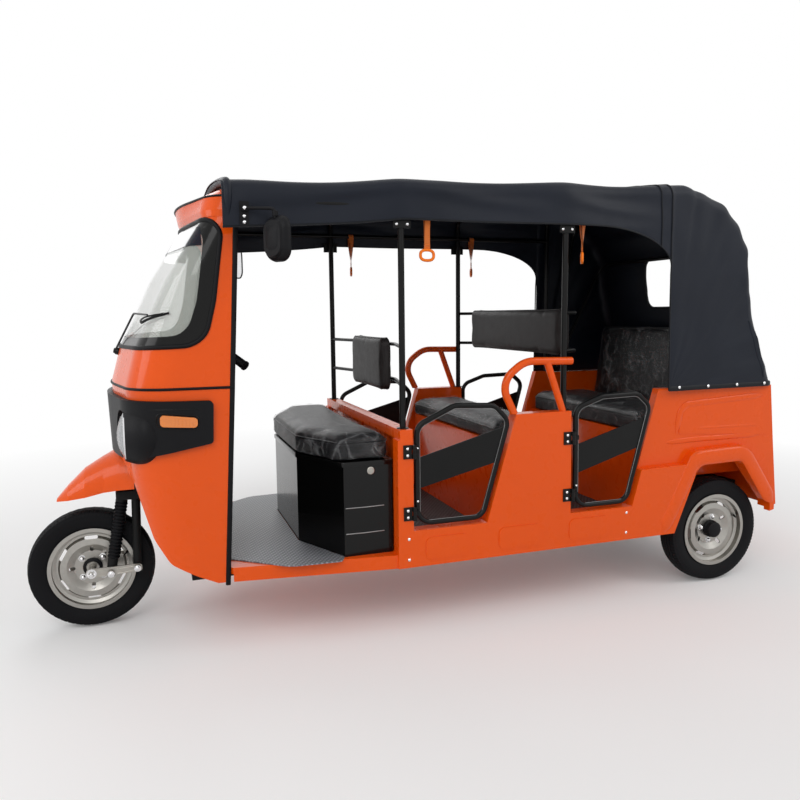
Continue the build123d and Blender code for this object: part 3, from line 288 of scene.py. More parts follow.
nodeFinishes = {
    "battery": "battery", "cab_lower": "orange", "cab_upper": "orange", "chassis_frame": "chassis",
    "dashboard": "plastic", "door_hinges": "frameBlack", "floor_pan": "orange", "fork": "chassis",
    "front_door_left": "frameBlack", "front_door_right": "frameBlack", "front_fender": "orange",
    "front_links": "zinc", "front_rim": "rim", "front_tyre": "tyre", "grab_rails": "orange",
    "hand_straps": "webbing", "handlebar": "frameBlack", "headlamp_lenses": "lens", "lamp_band": "plastic",
    "leaf_springs": "spring", "middle_seat_base": "orange", "mirrors": "plastic", "partition": "orange",
    "posts": "frameBlack", "quarter_panels": "orange", "rear_axle": "casting", "rear_door_left": "frameBlack",
    "rear_door_right": "frameBlack", "rear_left_rim": "rim", "rear_left_tyre": "tyre",
    "rear_right_rim": "rim", "rear_right_tyre": "tyre", "rear_seat_base": "orange", "roof_bows": "frameBlack",
    "seat_box": "gloss", "side_panels": "orange", "tail_lamps": "red", "tail_panel": "orange",
    "turn_signals": "amber", "windshield": "glass", "canopy": "canopy", "driver_cushion": "seat",
    "middle_cushion": "seat", "rear_cushion": "seat", "rear_backrest": "seat", "rack_pads": "pad",
}
for nodeName, finishName in nodeFinishes.items():
    mesh = nodes[nodeName].data
    mesh.materials.clear()
    mesh.materials.append(finishes[finishName])


# mesh making
class Stock:  # vertices and faces that become one piece
    def __init__(self):
        self.points, self.faces = [], []

    def add(self, points, faces):
        start = len(self.points)
        self.points += [tuple(point) for point in points]
        self.faces += [tuple(index + start for index in face) for face in faces]
        return self

    def grid(self, rows, closedRows=False, closedColumns=False, caps=False):
        count, width = len(rows), len(rows[0])
        faces = []
        for r in range(count if closedRows else count - 1):
            for c in range(width if closedColumns else width - 1):
                r1, c1 = (r + 1) % count, (c + 1) % width
                faces.append((r * width + c, r * width + c1, r1 * width + c1, r1 * width + c))
        if caps:
            faces += [tuple(reversed(range(width))), tuple(range((count - 1) * width, count * width))]
        return self.add([point for row in rows for point in row], faces)

    def tube(self, path, radius, sides=12, closed=False, squash=1.0, up=None):
        path = [Vector(point) for point in path]
        radii = radius if isinstance(radius, (list, tuple)) else [radius] * len(path)
        count = len(path)
        frameUp = Vector(up) if up is not None else None
        rows = []
        for i, point in enumerate(path):
            ahead = path[(i + 1) % count] if closed else path[min(i + 1, count - 1)]
            behind = path[i - 1] if closed else path[max(i - 1, 0)]
            along = (ahead - behind).normalized()
            if frameUp is None or abs(frameUp.dot(along)) > 0.999:
                frameUp = along.orthogonal().normalized()
            frameUp = (frameUp - along * frameUp.dot(along)).normalized()
            across = along.cross(frameUp)
            rows.append([point + radii[i] * (math.cos(a) * frameUp + math.sin(a) * squash * across)
                         for a in (2 * math.pi * k / sides for k in range(sides))])
        self.grid(rows, closed, True)
        if not closed:
            last = len(self.points)
            self.faces.append(tuple(range(last - sides * count, last - sides * (count - 1))))
            self.faces.append(tuple(reversed(range(last - sides, last))))
        return self

    def lathe(self, profile, centre, axis, steps=32, closedProfile=False):
        axis = Vector(axis).normalized()
        side = axis.orthogonal().normalized()
        other = axis.cross(side)
        rows = [[Vector(centre) + axis * along + radius * (math.cos(a) * side + math.sin(a) * other)
                 for a in (2 * math.pi * k / steps for k in range(steps))] for along, radius in profile]
        return self.grid(rows, closedProfile, True)

    def box(self, low, high, turn=None, centre=None):
        low, high = Vector(low), Vector(high)
        corners = [Vector((x, y, z)) for x in (low.x, high.x) for y in (low.y, high.y) for z in (low.z, high.z)]
        if turn is not None:
            middle = Vector(centre) if centre is not None else (low + high) / 2
            corners = [turn @ (corner - middle) + middle for corner in corners]
        return self.add(corners, [(0, 1, 3, 2), (4, 6, 7, 5), (0, 4, 5, 1), (2, 3, 7, 6), (0, 2, 6, 4), (1, 5, 7, 3)])

    def mirrored(self):
        count = len(self.points)
        self.points += [(x, -y, z) for x, y, z in self.points]
        self.faces += [tuple(index + count for index in reversed(face)) for face in self.faces]
        return self

    def piece(self, name, finish, body, slotName, bevel=0.0, levels=0, sharp=38.0, merge=0.0, stands=()):
        mesh = bpy.data.meshes.new(name)
        mesh.from_pydata(self.points, [], self.faces)
        mesh.update()
        made = bpy.data.objects.new(name, mesh)
        scene.collection.objects.link(made)
        tidyMesh(mesh, merge)
        mesh.materials.append(finishes[finish])
        if bevel:
            edge = made.modifiers.new("softEdges", "BEVEL")
            edge.width, edge.segments, edge.limit_method = bevel, 2, "ANGLE"
            edge.angle_limit = math.radians(40)
        if levels:
            smooth = made.modifiers.new("rounded", "SUBSURF")
            smooth.levels = smooth.render_levels = levels
        smoothFaces(mesh, sharp)
        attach(made, body)
        if stands:
            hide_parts(*stands)
        return made


def tidyMesh(mesh, merge=0.0):
    work = bmesh.new()
    work.from_mesh(mesh)
    if merge:
        bmesh.ops.remove_doubles(work, verts=work.verts, dist=merge)
    bmesh.ops.recalc_face_normals(work, faces=work.faces)
    work.to_mesh(mesh)
    work.free()


def smoothFaces(mesh, sharp=38.0):
    mesh.polygons.foreach_set("use_smooth", [True] * len(mesh.polygons))
    mesh.set_sharp_from_angle(angle=math.radians(sharp))
    mesh.update()


def roundedPath(points, radii, closed=False, step=0.006):
    points = [Vector(point) for point in points]
    if not isinstance(radii, (list, tuple)):
        radii = [radii] * len(points) if closed else [0.0] + [radii] * (len(points) - 2) + [0.0]
    path = []
    count = len(points)
    for i, point in enumerate(points):
        radius = radii[i]
        before, after = points[i - 1], points[(i + 1) % count]
        if radius <= 0 or (not closed and i in (0, count - 1)):
            path.append(point)
            continue
        inward, outward = (before - point).normalized(), (after - point).normalized()
        half = inward.angle(outward) / 2
        reach = radius / math.tan(half)
        start = point + inward * reach
        centre = point + (inward + outward).normalized() * (radius / math.sin(half))
        sweep = math.pi - 2 * half
        steps = max(2, int(radius * sweep / step))
        spoke, axis = start - centre, inward.cross(outward).normalized()
        for k in range(steps + 1):
            path.append(centre + Matrix.Rotation(-sweep * k / steps, 3, axis) @ spoke)
    return path


def evenPath(path, gap, closed=False):
    points = [Vector(point) for point in path]
    if closed:
        points.append(points[0])
    lengths = [0.0]
    for a, b in zip(points, points[1:]):
        lengths.append(lengths[-1] + (b - a).length)
    count = max(2, round(lengths[-1] / gap))
    out, j = [], 0
    for k in range(count if closed else count + 1):
        want = lengths[-1] * k / count
        while j < len(points) - 2 and lengths[j + 1] < want:
            j += 1
        span = lengths[j + 1] - lengths[j]
        share = (want - lengths[j]) / span if span else 0.0
        out.append(points[j].lerp(points[j + 1], share))
    return out


def ripple(point, scale, seed=0.0):
    return noise.noise(Vector(point) * scale + Vector((seed, seed * 1.7, seed * 0.6)))


def rivetRow(stock, places, normal, radius, height):
    for place in places:
        stock.lathe([(-0.001, radius), (height * 0.35, radius), (height * 0.8, radius * 0.72), (height, radius * 0.25),
                     (height, 0.0004)], place, normal, 14)
    return stock


def hexBolt(stock, place, normal, radius, height):
    axis = Vector(normal).normalized()
    stock.lathe([(-0.001, radius * 1.45), (height * 0.2, radius * 1.45), (height * 0.2, radius),
                 (height, radius), (height, 0.0004)], place, axis, 6)
    stock.lathe([(height, radius * 0.5), (height * 1.5, radius * 0.5), (height * 1.5, 0.0004)], place, axis, 12)
    return stock


# camera, light and floor
lens = {"focal": 32.92, "sensor": 36.0, "place": (1.1835, 3.2555, 1.2932),
        "yaw": math.radians(19.16), "pitch": math.radians(-6.72), "roll": math.radians(-0.62)}


def makeCamera():
    data = bpy.data.cameras.new("viewCamera")
    data.lens, data.sensor_width = lens["focal"], lens["sensor"]
    camera = bpy.data.objects.new("viewCamera", data)
    scene.collection.objects.link(camera)
    yaw, pitch, roll = lens["yaw"], lens["pitch"], lens["roll"]
    ahead = Vector((-math.sin(yaw) * math.cos(pitch), -math.cos(yaw) * math.cos(pitch), math.sin(pitch)))
    level = ahead.cross(Vector((0, 0, 1))).normalized()
    upright = level.cross(ahead)
    right = math.cos(roll) * level + math.sin(roll) * upright
    top = -math.sin(roll) * level + math.cos(roll) * upright
    turn = Matrix((right, top, -ahead)).transposed()
    camera.matrix_world = Matrix.Translation(lens["place"]) @ turn.to_4x4()
    data.clip_start, data.clip_end = 0.05, 200.0
    scene.camera = camera


studio = {"world": 0.48, "floor": 0.86, "lift": 0.11, "fadeFrom": 2.2, "fadeOver": 3.0,
          "lamps": [((3.2, 5.5, 5.2), 4.5, 150.0), ((-4.5, 3.5, 4.6), 4.0, 85.0),
                    ((1.0, -5.0, 4.2), 4.0, 70.0), ((6.0, 0.5, 3.0), 3.0, 60.0)]}


def directRays(recipe):
    seen = [recipe.node("ShaderNodeLightPath", output=f"Is {kind} Ray")
            for kind in ("Camera", "Glossy", "Transmission")]
    return (seen[0] + seen[1] + seen[2]).clipped()


def makeStudio():
    world = bpy.data.worlds.new("paleStudio")
    scene.world = world
    world.use_nodes = True
    sky = Recipe(world.node_tree)
    lit = sky.node("ShaderNodeBackground", None, {"Color": (1, 1, 1), "Strength": studio["world"]})
    white = sky.node("ShaderNodeBackground", None, {"Color": (1, 1, 1), "Strength": 1.0})
    mix = sky.node("ShaderNodeMixShader", None, {0: directRays(sky), 1: lit, 2: white})
    sky.node("ShaderNodeOutputWorld", None, {"Surface": mix})
    for number, (place, size, power) in enumerate(studio["lamps"]):
        data = bpy.data.lights.new(f"softLamp{number}", "AREA")
        data.shape, data.size, data.energy = "DISK", size, power
        lamp = bpy.data.objects.new(f"softLamp{number}", data)
        lamp.location = place
        lamp.rotation_mode = "QUATERNION"
        lamp.rotation_quaternion = (Vector((0, 0, 0.9)) - Vector(place)).to_track_quat("-Z", "Y")
        scene.collection.objects.link(lamp)
    mesh = bpy.data.meshes.new("studioFloor")
    mesh.from_pydata([(-60, -60, 0), (60, -60, 0), (60, 60, 0), (-60, 60, 0)], [], [(0, 1, 2, 3)])
    ground = bpy.data.objects.new("studioFloor", mesh)
    scene.collection.objects.link(ground)
    material = bpy.data.materials.new("paleFloor")
    material.use_nodes = True
    plain = Recipe(material.node_tree)
    matt = plain.node("ShaderNodeBsdfDiffuse", None, {"Color": (studio["floor"],) * 3})
    lift = plain.node("ShaderNodeEmission", None, {"Strength": studio["lift"]})
    near = plain.node("ShaderNodeAddShader", None, {0: matt, 1: lift})
    far = plain.node("ShaderNodeEmission", None, {"Strength": 1.0})
    reach = plain.node("ShaderNodeVectorMath", {"operation": "LENGTH"},
                       {0: plain.node("ShaderNodeTexCoord", output="Object")},
                       "Value")
    fade = ((reach - studio["fadeFrom"]) * (1 / studio["fadeOver"])).clipped()
    shown = plain.node("ShaderNodeMixShader", None, {0: fade, 1: near, 2: far})
    surface = plain.node("ShaderNodeMixShader", None, {0: directRays(plain), 1: matt, 2: shown})
    plain.node("ShaderNodeOutputMaterial", None, {"Surface": surface})
    mesh.materials.append(material)


makeCamera()
makeStudio()
scene.view_settings.view_transform = "Standard"
print("camera and studio ready")

# the cab's skin, which its seals, glass border and trims follow
cabSkin = {  # z, apex, knee, width at the knee, rear, width at the rear, knee round
    "lower": [(0.285, 1.272, 1.152, 0.488, 0.920, 0.500, 0.170), (0.690, 1.325, 1.225, 0.494, 0.897, 0.503, 0.180),
              (1.027, 1.339, 1.232, 0.497, 0.878, 0.505, 0.170)],
    "upper": [(1.033, 1.339, 1.232, 0.497, 0.878, 0.505, 0.170), (1.170, 1.300, 1.197, 0.496, 0.870, 0.505, 0.165),
              (1.440, 1.166, 1.078, 0.494, 0.855, 0.504, 0.130), (1.650, 1.024, 0.952, 0.493, 0.844, 0.503, 0.090)],
    "visor": [(1.650, 1.026, 0.955, 0.494, 0.844, 0.503, 0.090), (1.674, 1.040, 0.956, 0.496, 0.843, 0.503, 0.100),
              (1.726, 1.072, 0.932, 0.491, 0.842, 0.500, 0.118), (1.752, 1.012, 0.892, 0.456, 0.842, 0.468, 0.066),
              (1.768, 0.945, 0.874, 0.400, 0.842, 0.410, 0.038)],
    "apexRound": 0.9, "steps": (10, 14, 8, 10),
}
skinEnd = sum(cabSkin["steps"])


def cabHalf(level):
    z, apex, knee, kneeWidth, rear, rearWidth, kneeRound = level
    flank, front, arcSteps, apexSteps = (cabSkin["steps"][k] for k in (0, 2, 1, 3))
    back, corner, tip = Vector((rear, rearWidth)), Vector((knee, kneeWidth)), Vector((apex, 0.0))
    inward, outward = (back - corner).normalized(), (tip - corner).normalized()
    half = math.acos(max(-1.0, min(1.0, inward.dot(outward)))) / 2
    reach = kneeRound / math.tan(half)
    start, end = corner + inward * reach, corner + outward * reach
    centre = corner + (inward + outward).normalized() * (kneeRound / math.sin(half))
    points = [back.lerp(start, k / flank) for k in range(flank)]
    first = math.atan2(start.y - centre.y, start.x - centre.x)
    last = math.atan2(end.y - centre.y, end.x - centre.x)
    points += [centre + kneeRound * Vector((math.cos(first + (last - first) * k / arcSteps),
                                            math.sin(first + (last - first) * k / arcSteps)))
               for k in range(arcSteps)]
    big = cabSkin["apexRound"]
    side = (corner - tip).normalized()
    halfTip = math.acos(-side.x)
    tipStart = tip + side * (big / math.tan(halfTip))
    tipCentre = Vector((apex - big / math.sin(halfTip), 0.0))
    points += [end.lerp(tipStart, k / front) for k in range(front)]
    first = math.atan2(tipStart.y, tipStart.x - tipCentre.x)
    points += [tipCentre + big * Vector((math.cos(first * (1 - k / apexSteps)), math.sin(first * (1 - k / apexSteps))))
               for k in range(apexSteps + 1)]
    return np.array([(p.x, p.y) for p in points])


skinRows = {part: [cabHalf(level) for level in cabSkin[part]] for part in ("lower", "upper", "visor")}


def cabRow(part, z):
    levels = [level[0] for level in cabSkin[part]]
    i = min(max(int(np.searchsorted(levels, z)) - 1, 0), len(levels) - 2)
    share = (z - levels[i]) / (levels[i + 1] - levels[i])
    return skinRows[part][i] * (1 - share) + skinRows[part][i + 1] * share


def cabPoint(part, s, z, side=1, out=0.0):
    def place(step, height):
        row = cabRow(part, height)
        across = [np.interp(step, range(len(row)), row[:, axis]) for axis in (0, 1)]
        return Vector((*across, height))
    here = place(s, z)
    along = place(min(s + 0.5, skinEnd), z) - place(max(s - 0.5, 0), z)
    if s >= skinEnd - 0.5:
        along = Vector((0, -1, 0))
    normal = (place(s, z + 0.004) - place(s, z - 0.004)).cross(along).normalized()
    here += normal * out
    return Vector((here.x, here.y * side, here.z))


def stepAt(part, x, z):
    row = cabRow(part, z)
    return float(np.interp(x, row[:, 0], range(len(row))))


def bothSides(half, first=0):  # a line from the left to the middle, carried on to the right
    return half + [Vector((p.x, -p.y, p.z)) for p in reversed(half[first:-1])]


def roundSkin(part, z, out, spacing=1.0):
    steps = [k * spacing for k in range(int(skinEnd / spacing) + 1)]
    return bothSides([cabPoint(part, s, z, 1, out) for s in steps])


seam = {"z": 1.030, "radius": 0.0052, "sink": 0.0004, "brimZ": 1.725, "brimRadius": 0.0045}
# the rear edge trim is drawn as wide as the rubber strip and the shade inside the cab's edge together: its black is
# partly a real strip, partly painted shade
edgeTrim = {"halfWidth": 0.0095, "thickness": 0.52, "low": 0.274, "high": 1.655, "inset": 0.006}


def makeCabTrims():
    strip = Stock().tube(roundSkin("lower", seam["z"], seam["sink"], 0.5), seam["radius"], 10)
    strip.piece("cabSeamStrip", "seal", "body", "black_plastic")
    edge = Stock()
    for side in (1, -1):
        path = []
        for k in range(45):
            z = edgeTrim["low"] + (edgeTrim["high"] - edgeTrim["low"]) * k / 44
            part = "lower" if z < seam["z"] else "upper"
            point = cabPoint(part, 0, z, side, 0.0)
            path.append(point + Vector((edgeTrim["inset"], -side * 0.001, 0)))
        edge.tube(path, edgeTrim["halfWidth"], 14, squash=edgeTrim["thickness"], up=(1, 0, 0))
    edge.piece("cabEdgeTrim", "seal", "body", "black_plastic")
    brim = Stock().tube(roundSkin("visor", seam["brimZ"], 0.0002, 0.5), seam["brimRadius"], 8)
    brim.piece("visorBrimTrim", "seal", "body", "black_plastic")


windshieldTrim = {"radius": 0.0085, "frit": (0.036, 0.060, 0.030), "lift": 0.0006, "sunTop": 1.618, "sunDepth": 0.072,
                  "sunFrom": 0.972, "sunLift": 0.0009, "borderRows": 9, "sunRows": 7, "sunSteps": 40,
                  "outerRounds": [0, 0.090, 0.095, 0.300, 0.055, 0.055, 0],
                  "innerRounds": [0, 0.10, 0.10, 0.25, 0.070, 0.040, 0]}


def glassEdge(low, side, high, rounds, count=150):  # half of the glass outline, drawn in from its edge
    drawn = [(1.35, 1.172 + low), (1.034 + side * 0.72, 1.186 + low), (0.971 + side, 1.216 + low * 0.9),
             (0.938 + side, 1.349), (0.903 + side, 1.596 - high * 0.4),
             (0.938 + side * 0.8, 1.640 - high), (1.35, 1.652 - high)]
    path = [Vector((p.x, p.y, p.z)) for p in roundedPath([(x, z, 0) for x, z in drawn], rounds, step=0.003)]
    path = evenPath(path, 0.004)
    line = [(p.x, p.y) for p in path]
    spots = []
    for x, z in line:
        row = cabRow("upper", z)
        if x < row[-1, 0] - 0.0002:
            spots.append((stepAt("upper", x, z), z))
    dense = []
    first, last = spots[0], spots[-1]
    for k in range(12):
        dense.append((skinEnd - (skinEnd - first[0]) * k / 12, first[1]))
    dense += spots
    for k in range(1, 13):
        dense.append((last[0] + (skinEnd - last[0]) * k / 12, last[1]))
    places = [cabPoint("upper", s, z) for s, z in dense]
    lengths = np.concatenate([[0.0], np.cumsum([(b - a).length for a, b in zip(places, places[1:])])])
    wanted = np.linspace(0, lengths[-1], count)
    return list(zip(*(np.interp(wanted, lengths, [spot[axis] for spot in dense]) for axis in (0, 1))))


def makeWindshieldTrim():
    outer = glassEdge(0, 0, 0, windshieldTrim["outerRounds"])
    half = [cabPoint("upper", s, z, 1, 0.001) for s, z in outer]
    seal = Stock().tube(bothSides(half, 1), windshieldTrim["radius"], 10, closed=True)
    seal.piece("windshieldSeal", "seal", "body", "black_plastic")
    inner = glassEdge(*windshieldTrim["frit"], windshieldTrim["innerRounds"])
    rows = []
    for k in range(windshieldTrim["borderRows"]):
        share = k / (windshieldTrim["borderRows"] - 1)
        half = [cabPoint("upper", s0 + (s1 - s0) * share, z0 + (z1 - z0) * share, 1, windshieldTrim["lift"])
                for (s0, z0), (s1, z1) in zip(outer, inner)]
        rows.append(bothSides(half, 1))
    Stock().grid(rows, False, True).piece("glassBorder", "frit", "body", "gloss_black_panel")
    band = Stock()  # the tinted strip along the top of the glass
    rows = []
    steps = windshieldTrim["sunSteps"]
    for k in range(windshieldTrim["sunRows"]):
        z = windshieldTrim["sunTop"] - windshieldTrim["sunDepth"] * k / (windshieldTrim["sunRows"] - 1)
        starts = stepAt("upper", windshieldTrim["sunFrom"], z)
        half = [cabPoint("upper", starts + (skinEnd - starts) * j / steps, z, 1, windshieldTrim["sunLift"])
                for j in range(steps + 1)]
        rows.append(bothSides(half))
    band.grid(rows)
    band.piece("glassSunBand", "sunBand", "body", "clear_glass")


# wheels
tread = {"periods": 48, "grooves": (-0.027, -0.0095, 0.0095, 0.027), "grooveWidth": 0.0042, "depth": 0.0034,
         "swing": 0.0026, "sipeFrom": 0.031, "sipeDepth": 0.0024, "sipeAbove": 0.2285, "wallSipe": 0.7,
         "ringRise": 0.0009, "rings": ((0.1805, 0.186), (0.2235, 0.227))}


def wallRing(radius):  # two raised lines run round each wall
    return tread["ringRise"] if any(low < radius < high for low, high in tread["rings"]) else 0.0


def wallSipe(radius):
    return tread["wallSipe"] if radius > tread["sipeAbove"] else 0.0


def tyreProfile():  # distance along the axle, radius, groove depth, share of the zigzag, takes sipes
    rows = []

    def arc(p1, p2, p3, count):
        (x1, y1), (x2, y2), (x3, y3) = p1, p2, p3
        d = 2 * (x1 * (y2 - y3) + x2 * (y3 - y1) + x3 * (y1 - y2))
        ux = ((x1**2 + y1**2) * (y2 - y3) + (x2**2 + y2**2) * (y3 - y1) + (x3**2 + y3**2) * (y1 - y2)) / d
        uy = ((x1**2 + y1**2) * (x3 - x2) + (x2**2 + y2**2) * (x1 - x3) + (x3**2 + y3**2) * (x2 - x1)) / d
        r = math.hypot(x1 - ux, y1 - uy)
        a1, a3 = math.atan2(y1 - uy, x1 - ux), math.atan2(y3 - uy, x3 - ux)
        turn = (a3 - a1 + math.pi) % (2 * math.pi) - math.pi
        return [(ux + r * math.cos(a1 + turn * k / count), uy + r * math.sin(a1 + turn * k / count))
                for k in range(count + 1)]

    wall = arc((0.039, 0.1734), (0.049, 0.207), (0.046, 0.241), 14)
    for a, r in wall[:-1]:
        rows.append((a - 0.0007 + wallRing(r), r, 0.0, 0.0, wallSipe(r)))
    crown = arc((0.046, 0.241), (0.0, 0.250), (-0.046, 0.241), 200)
    crownA, crownR = [p[0] for p in reversed(crown)], [p[1] for p in reversed(crown)]
    places = [(0.046, 0.0, 0.0), (0.0405, 0.0, 0.0), (0.0345, 0.0, 0.0)]
    for g in reversed(tread["grooves"]):
        w = tread["grooveWidth"] / 2
        places += [(g + w, 0.0, 1.0), (g + w - 0.0005, 1.0, 1.0), (g - w + 0.0005, 1.0, 1.0), (g - w, 0.0, 1.0),
                   (g - w - 0.0045, 0.0, 0.5)]
    places += [(-0.0345, 0.0, 0.0), (-0.0405, 0.0, 0.0), (-0.046, 0.0, 0.0)]
    for a, deep, swing in sorted(set(places), reverse=True):
        r = float(np.interp(a, crownA, crownR))
        rows.append((a, r - 0.0002, deep * tread["depth"], swing, 1.0 if abs(a) > tread["sipeFrom"] else 0.0))
    for a, r in reversed(wall[:-1]):
        rows.append((-a + 0.0007 - wallRing(r), r, 0.0, 0.0, wallSipe(r)))
    return [(0.039, 0.1665, 0.0, 0.0, 0.0), *rows, (-0.039, 0.1665, 0.0, 0.0, 0.0)]


def makeTyre(name, node, body, x, y):
    profile = tyreProfile()
    marks = (0.0, 0.03, 0.11, 0.14, 0.32, 0.5, 0.53, 0.61, 0.64, 0.82)
    sunk = {0.03, 0.11, 0.53, 0.61}
    rows = []
    for p in range(tread["periods"]):
        for mark in marks:
            angle = 2 * math.pi * (p + mark) / tread["periods"]
            swing = tread["swing"] * (4 * abs(mark - 0.5) - 1)
            row = []
            for a, r, deep, share, sipe in profile:
                radius = r - deep - (tread["sipeDepth"] * sipe if mark in sunk else 0.0)
                row.append((x + radius * math.cos(angle), y + a + swing * share, axleZ + radius * math.sin(angle)))
            rows.append(row)
    tyre = Stock().grid(rows, True, False)
    tyre.piece(name, "tyre", body, "tyre_rubber", sharp=32, stands=(node,))


wheelDetail = {"nutRing": 0.057, "nutRadius": 0.0098, "face": 0.0142, "valveRing": 0.148, "valveTurn": 200, "nuts": 4,
               "capRibs": 24, "capKnurls": 96, "knurlDepth": 0.0011,
               "nutFoot": ((0.0, 1.35), (0.0018, 1.35), (0.0022, 1.05)),
               "frontCap": [(0.0, 0.039), (0.0055, 0.0385), (0.0085, 0.034), (0.0092, 0.0262), (0.0, 0.0262)],
               "rearCap": [(0.0, 0.041, 0), (0.012, 0.041, 0), (0.014, 0.0385, 1), (0.034, 0.037, 1),
                           (0.0365, 0.034, 0),
                           (0.0385, 0.024, 0), (0.0390, 0.010, 0),
                           (0.0390, 0.0008, 0)]}  # the third number is the knurl
wheelTable = [  # name, body, tyre's node, middle, side that faces out, place of the first nut
    ("front", "front_wheel", "front_tyre", frontAxleX, 0.0, 1, 45.0),
    ("rearLeft", "rear_left_wheel", "rear_left_tyre", rearAxleX, wheelY, 1, 80.0),
    ("rearRight", "rear_right_wheel", "rear_right_tyre", rearAxleX, -wheelY, -1, 80.0),
]


def makeWheelDetails():
    for name, body, tyreNode, x, y, outward, turn in wheelTable:
        makeTyre(f"{name}TyreTread", tyreNode, body, x, y)
        face = y + outward * wheelDetail["face"]

        def spot(angle, radius, offset=0.0):
            a = math.radians(angle)
            return Vector((x + radius * math.cos(a), face + outward * offset, axleZ - outward * radius * math.sin(a)))

        nuts = Stock()
        for k in range(wheelDetail["nuts"]):
            centre = spot(turn + 360 / wheelDetail["nuts"] * k, wheelDetail["nutRing"])
            axis = (0, outward, 0)
            r = wheelDetail["nutRadius"]
            nuts.lathe([(along, r * share) for along, share in wheelDetail["nutFoot"]], centre, axis, 20)
            nuts.lathe([(0.0020, r), (0.0085, r), (0.0098, r * 0.9)], centre, axis, 6)
            nuts.lathe([(0.0090, r * 0.84), (0.0125, r * 0.74), (0.0150, r * 0.45), (0.0158, 0.0005)], centre, axis,
                       20)
        nuts.piece(f"{name}WheelNuts", "chrome", body, "bright_steel", sharp=30)

        cap = Stock()
        if name == "front":
            cap.lathe(wheelDetail["frontCap"], spot(0, 0), (0, outward, 0), 40)
            for k in range(wheelDetail["capRibs"]):
                foot = spot(360 / wheelDetail["capRibs"] * k, 0.0365)
                cap.box(foot - Vector((0.0018, 0.0, 0.0018)), foot + Vector((0.0018, 0.0075, 0.0018)))
        else:
            knurls = wheelDetail["capKnurls"]
            rows = []
            for along, radius, knurl in wheelDetail["rearCap"]:
                row = []
                for k in range(knurls):
                    a = 2 * math.pi * k / knurls
                    grow = radius - (wheelDetail["knurlDepth"] if knurl and k % 2 else 0.0)
                    row.append(Vector((x + grow * math.cos(a), face + outward * along, axleZ + grow * math.sin(a))))
                rows.append(row)
            cap.grid(rows, False, True)
        cap.piece(f"{name}HubCap", "plastic", body, "black_plastic")

        valve = Stock()
        place = wheelDetail["valveTurn"] if outward > 0 else 30
        foot = spot(place, wheelDetail["valveRing"], 0.004)
        tip = spot(place, wheelDetail["valveRing"] - 0.010, 0.026)
        valve.tube([foot, foot.lerp(tip, 0.5), foot.lerp(tip, 0.52), tip], [0.0052, 0.0045, 0.0032, 0.0034], 12)
        valve.piece(f"{name}Valve", "seal", body, "black_plastic")
    print("wheels dressed")


# fork, links and handlebar
forkDetail = {"bootTop": (1.3045, 0.080, 0.535), "bootFoot": (1.3475, 0.080, 0.300), "inner": 0.0212, "outer": 0.0252,
              "ribs": 17,
              "linkPins": ((1.256, 0.255), (1.359, 0.243)), "pinFace": 0.1205, "plateFace": 0.1088}


def makeForkDetails():
    boots = Stock()
    top, foot = Vector(forkDetail["bootTop"]), Vector(forkDetail["bootFoot"])
    run = foot - top
    profile = [(0.0, 0.0205)]
    for k in range(forkDetail["ribs"]):
        base = (k + 0.08) / forkDetail["ribs"]
        step = 1 / forkDetail["ribs"]
        profile += [(run.length * base, forkDetail["inner"]), (run.length * (base + step * 0.3), forkDetail["outer"]),
                    (run.length * (base + step * 0.6), forkDetail["outer"])]
    profile += [(run.length, forkDetail["inner"]), (run.length + 0.001, 0.0203)]
    boots.lathe(profile, top, run, 28)
    boots.mirrored()
    boots.piece("shockBoots", "seal", "steering", "black_plastic")
    ends = Stock()
    pinFace, plateFace = forkDetail["pinFace"], forkDetail["plateFace"]
    for x, z in forkDetail["linkPins"]:
        ends.lathe([(0.0, 0.0135), (0.0025, 0.0135), (0.0025, 0.0105), (0.0075, 0.010), (0.0095, 0.006),
                    (0.0100, 0.0006)],
                   (x, pinFace, z), (0, 1, 0), 24)
    hexBolt(ends, (frontAxleX, 0.1092, axleZ), (0, 1, 0), 0.0125, 0.0095)
    ends.lathe([(0.0, 0.0195), (0.0028, 0.0195), (0.0028, 0.0085)], (frontAxleX, plateFace, axleZ), (0, 1, 0), 28)
    ends.lathe([(0.0, 0.0082), (0.006, 0.0078), (0.0072, 0.0062), (0.0073, 0.0005)], (frontAxleX, 0.1228, axleZ),
               (0, 1, 0), 18)
    ends.tube([(frontAxleX - 0.014, pinFace, axleZ + 0.002), (frontAxleX + 0.013, pinFace, axleZ - 0.002),
               (frontAxleX + 0.016, 0.1175, axleZ - 0.008)], 0.0013, 8)
    ends.mirrored()
    ends.piece("linkBolts", "chrome", "steering", "bright_steel", sharp=32)
    plates = Stock()  # stiffening ribs pressed into the link plates
    for dz in (-0.011, 0.011):
        for start, end in (((1.272, 0.254, 0.8), (1.335, 0.248, 0.9)), ((1.383, 0.246, 1.0), (1.410, 0.249, 1.0))):
            plates.tube([(x, plateFace, z + dz * share) for x, z, share in (start, end)], 0.0022, 8)
    plates.mirrored()
    plates.piece("linkRibs", "zinc", "steering", "bright_steel")


bars = {"clampX": 1.098, "clampZ": 1.065, "gripRadius": 0.0178, "gripLength": 0.108,
        "lever": ((0.006, 0.0, 0.0075), (0.030, 0.006, 0.007), (0.040, 0.030, 0.0058), (0.043, 0.080, 0.005),
                  (0.036, 0.118, 0.0062))}  # forward, back along the bar, radius


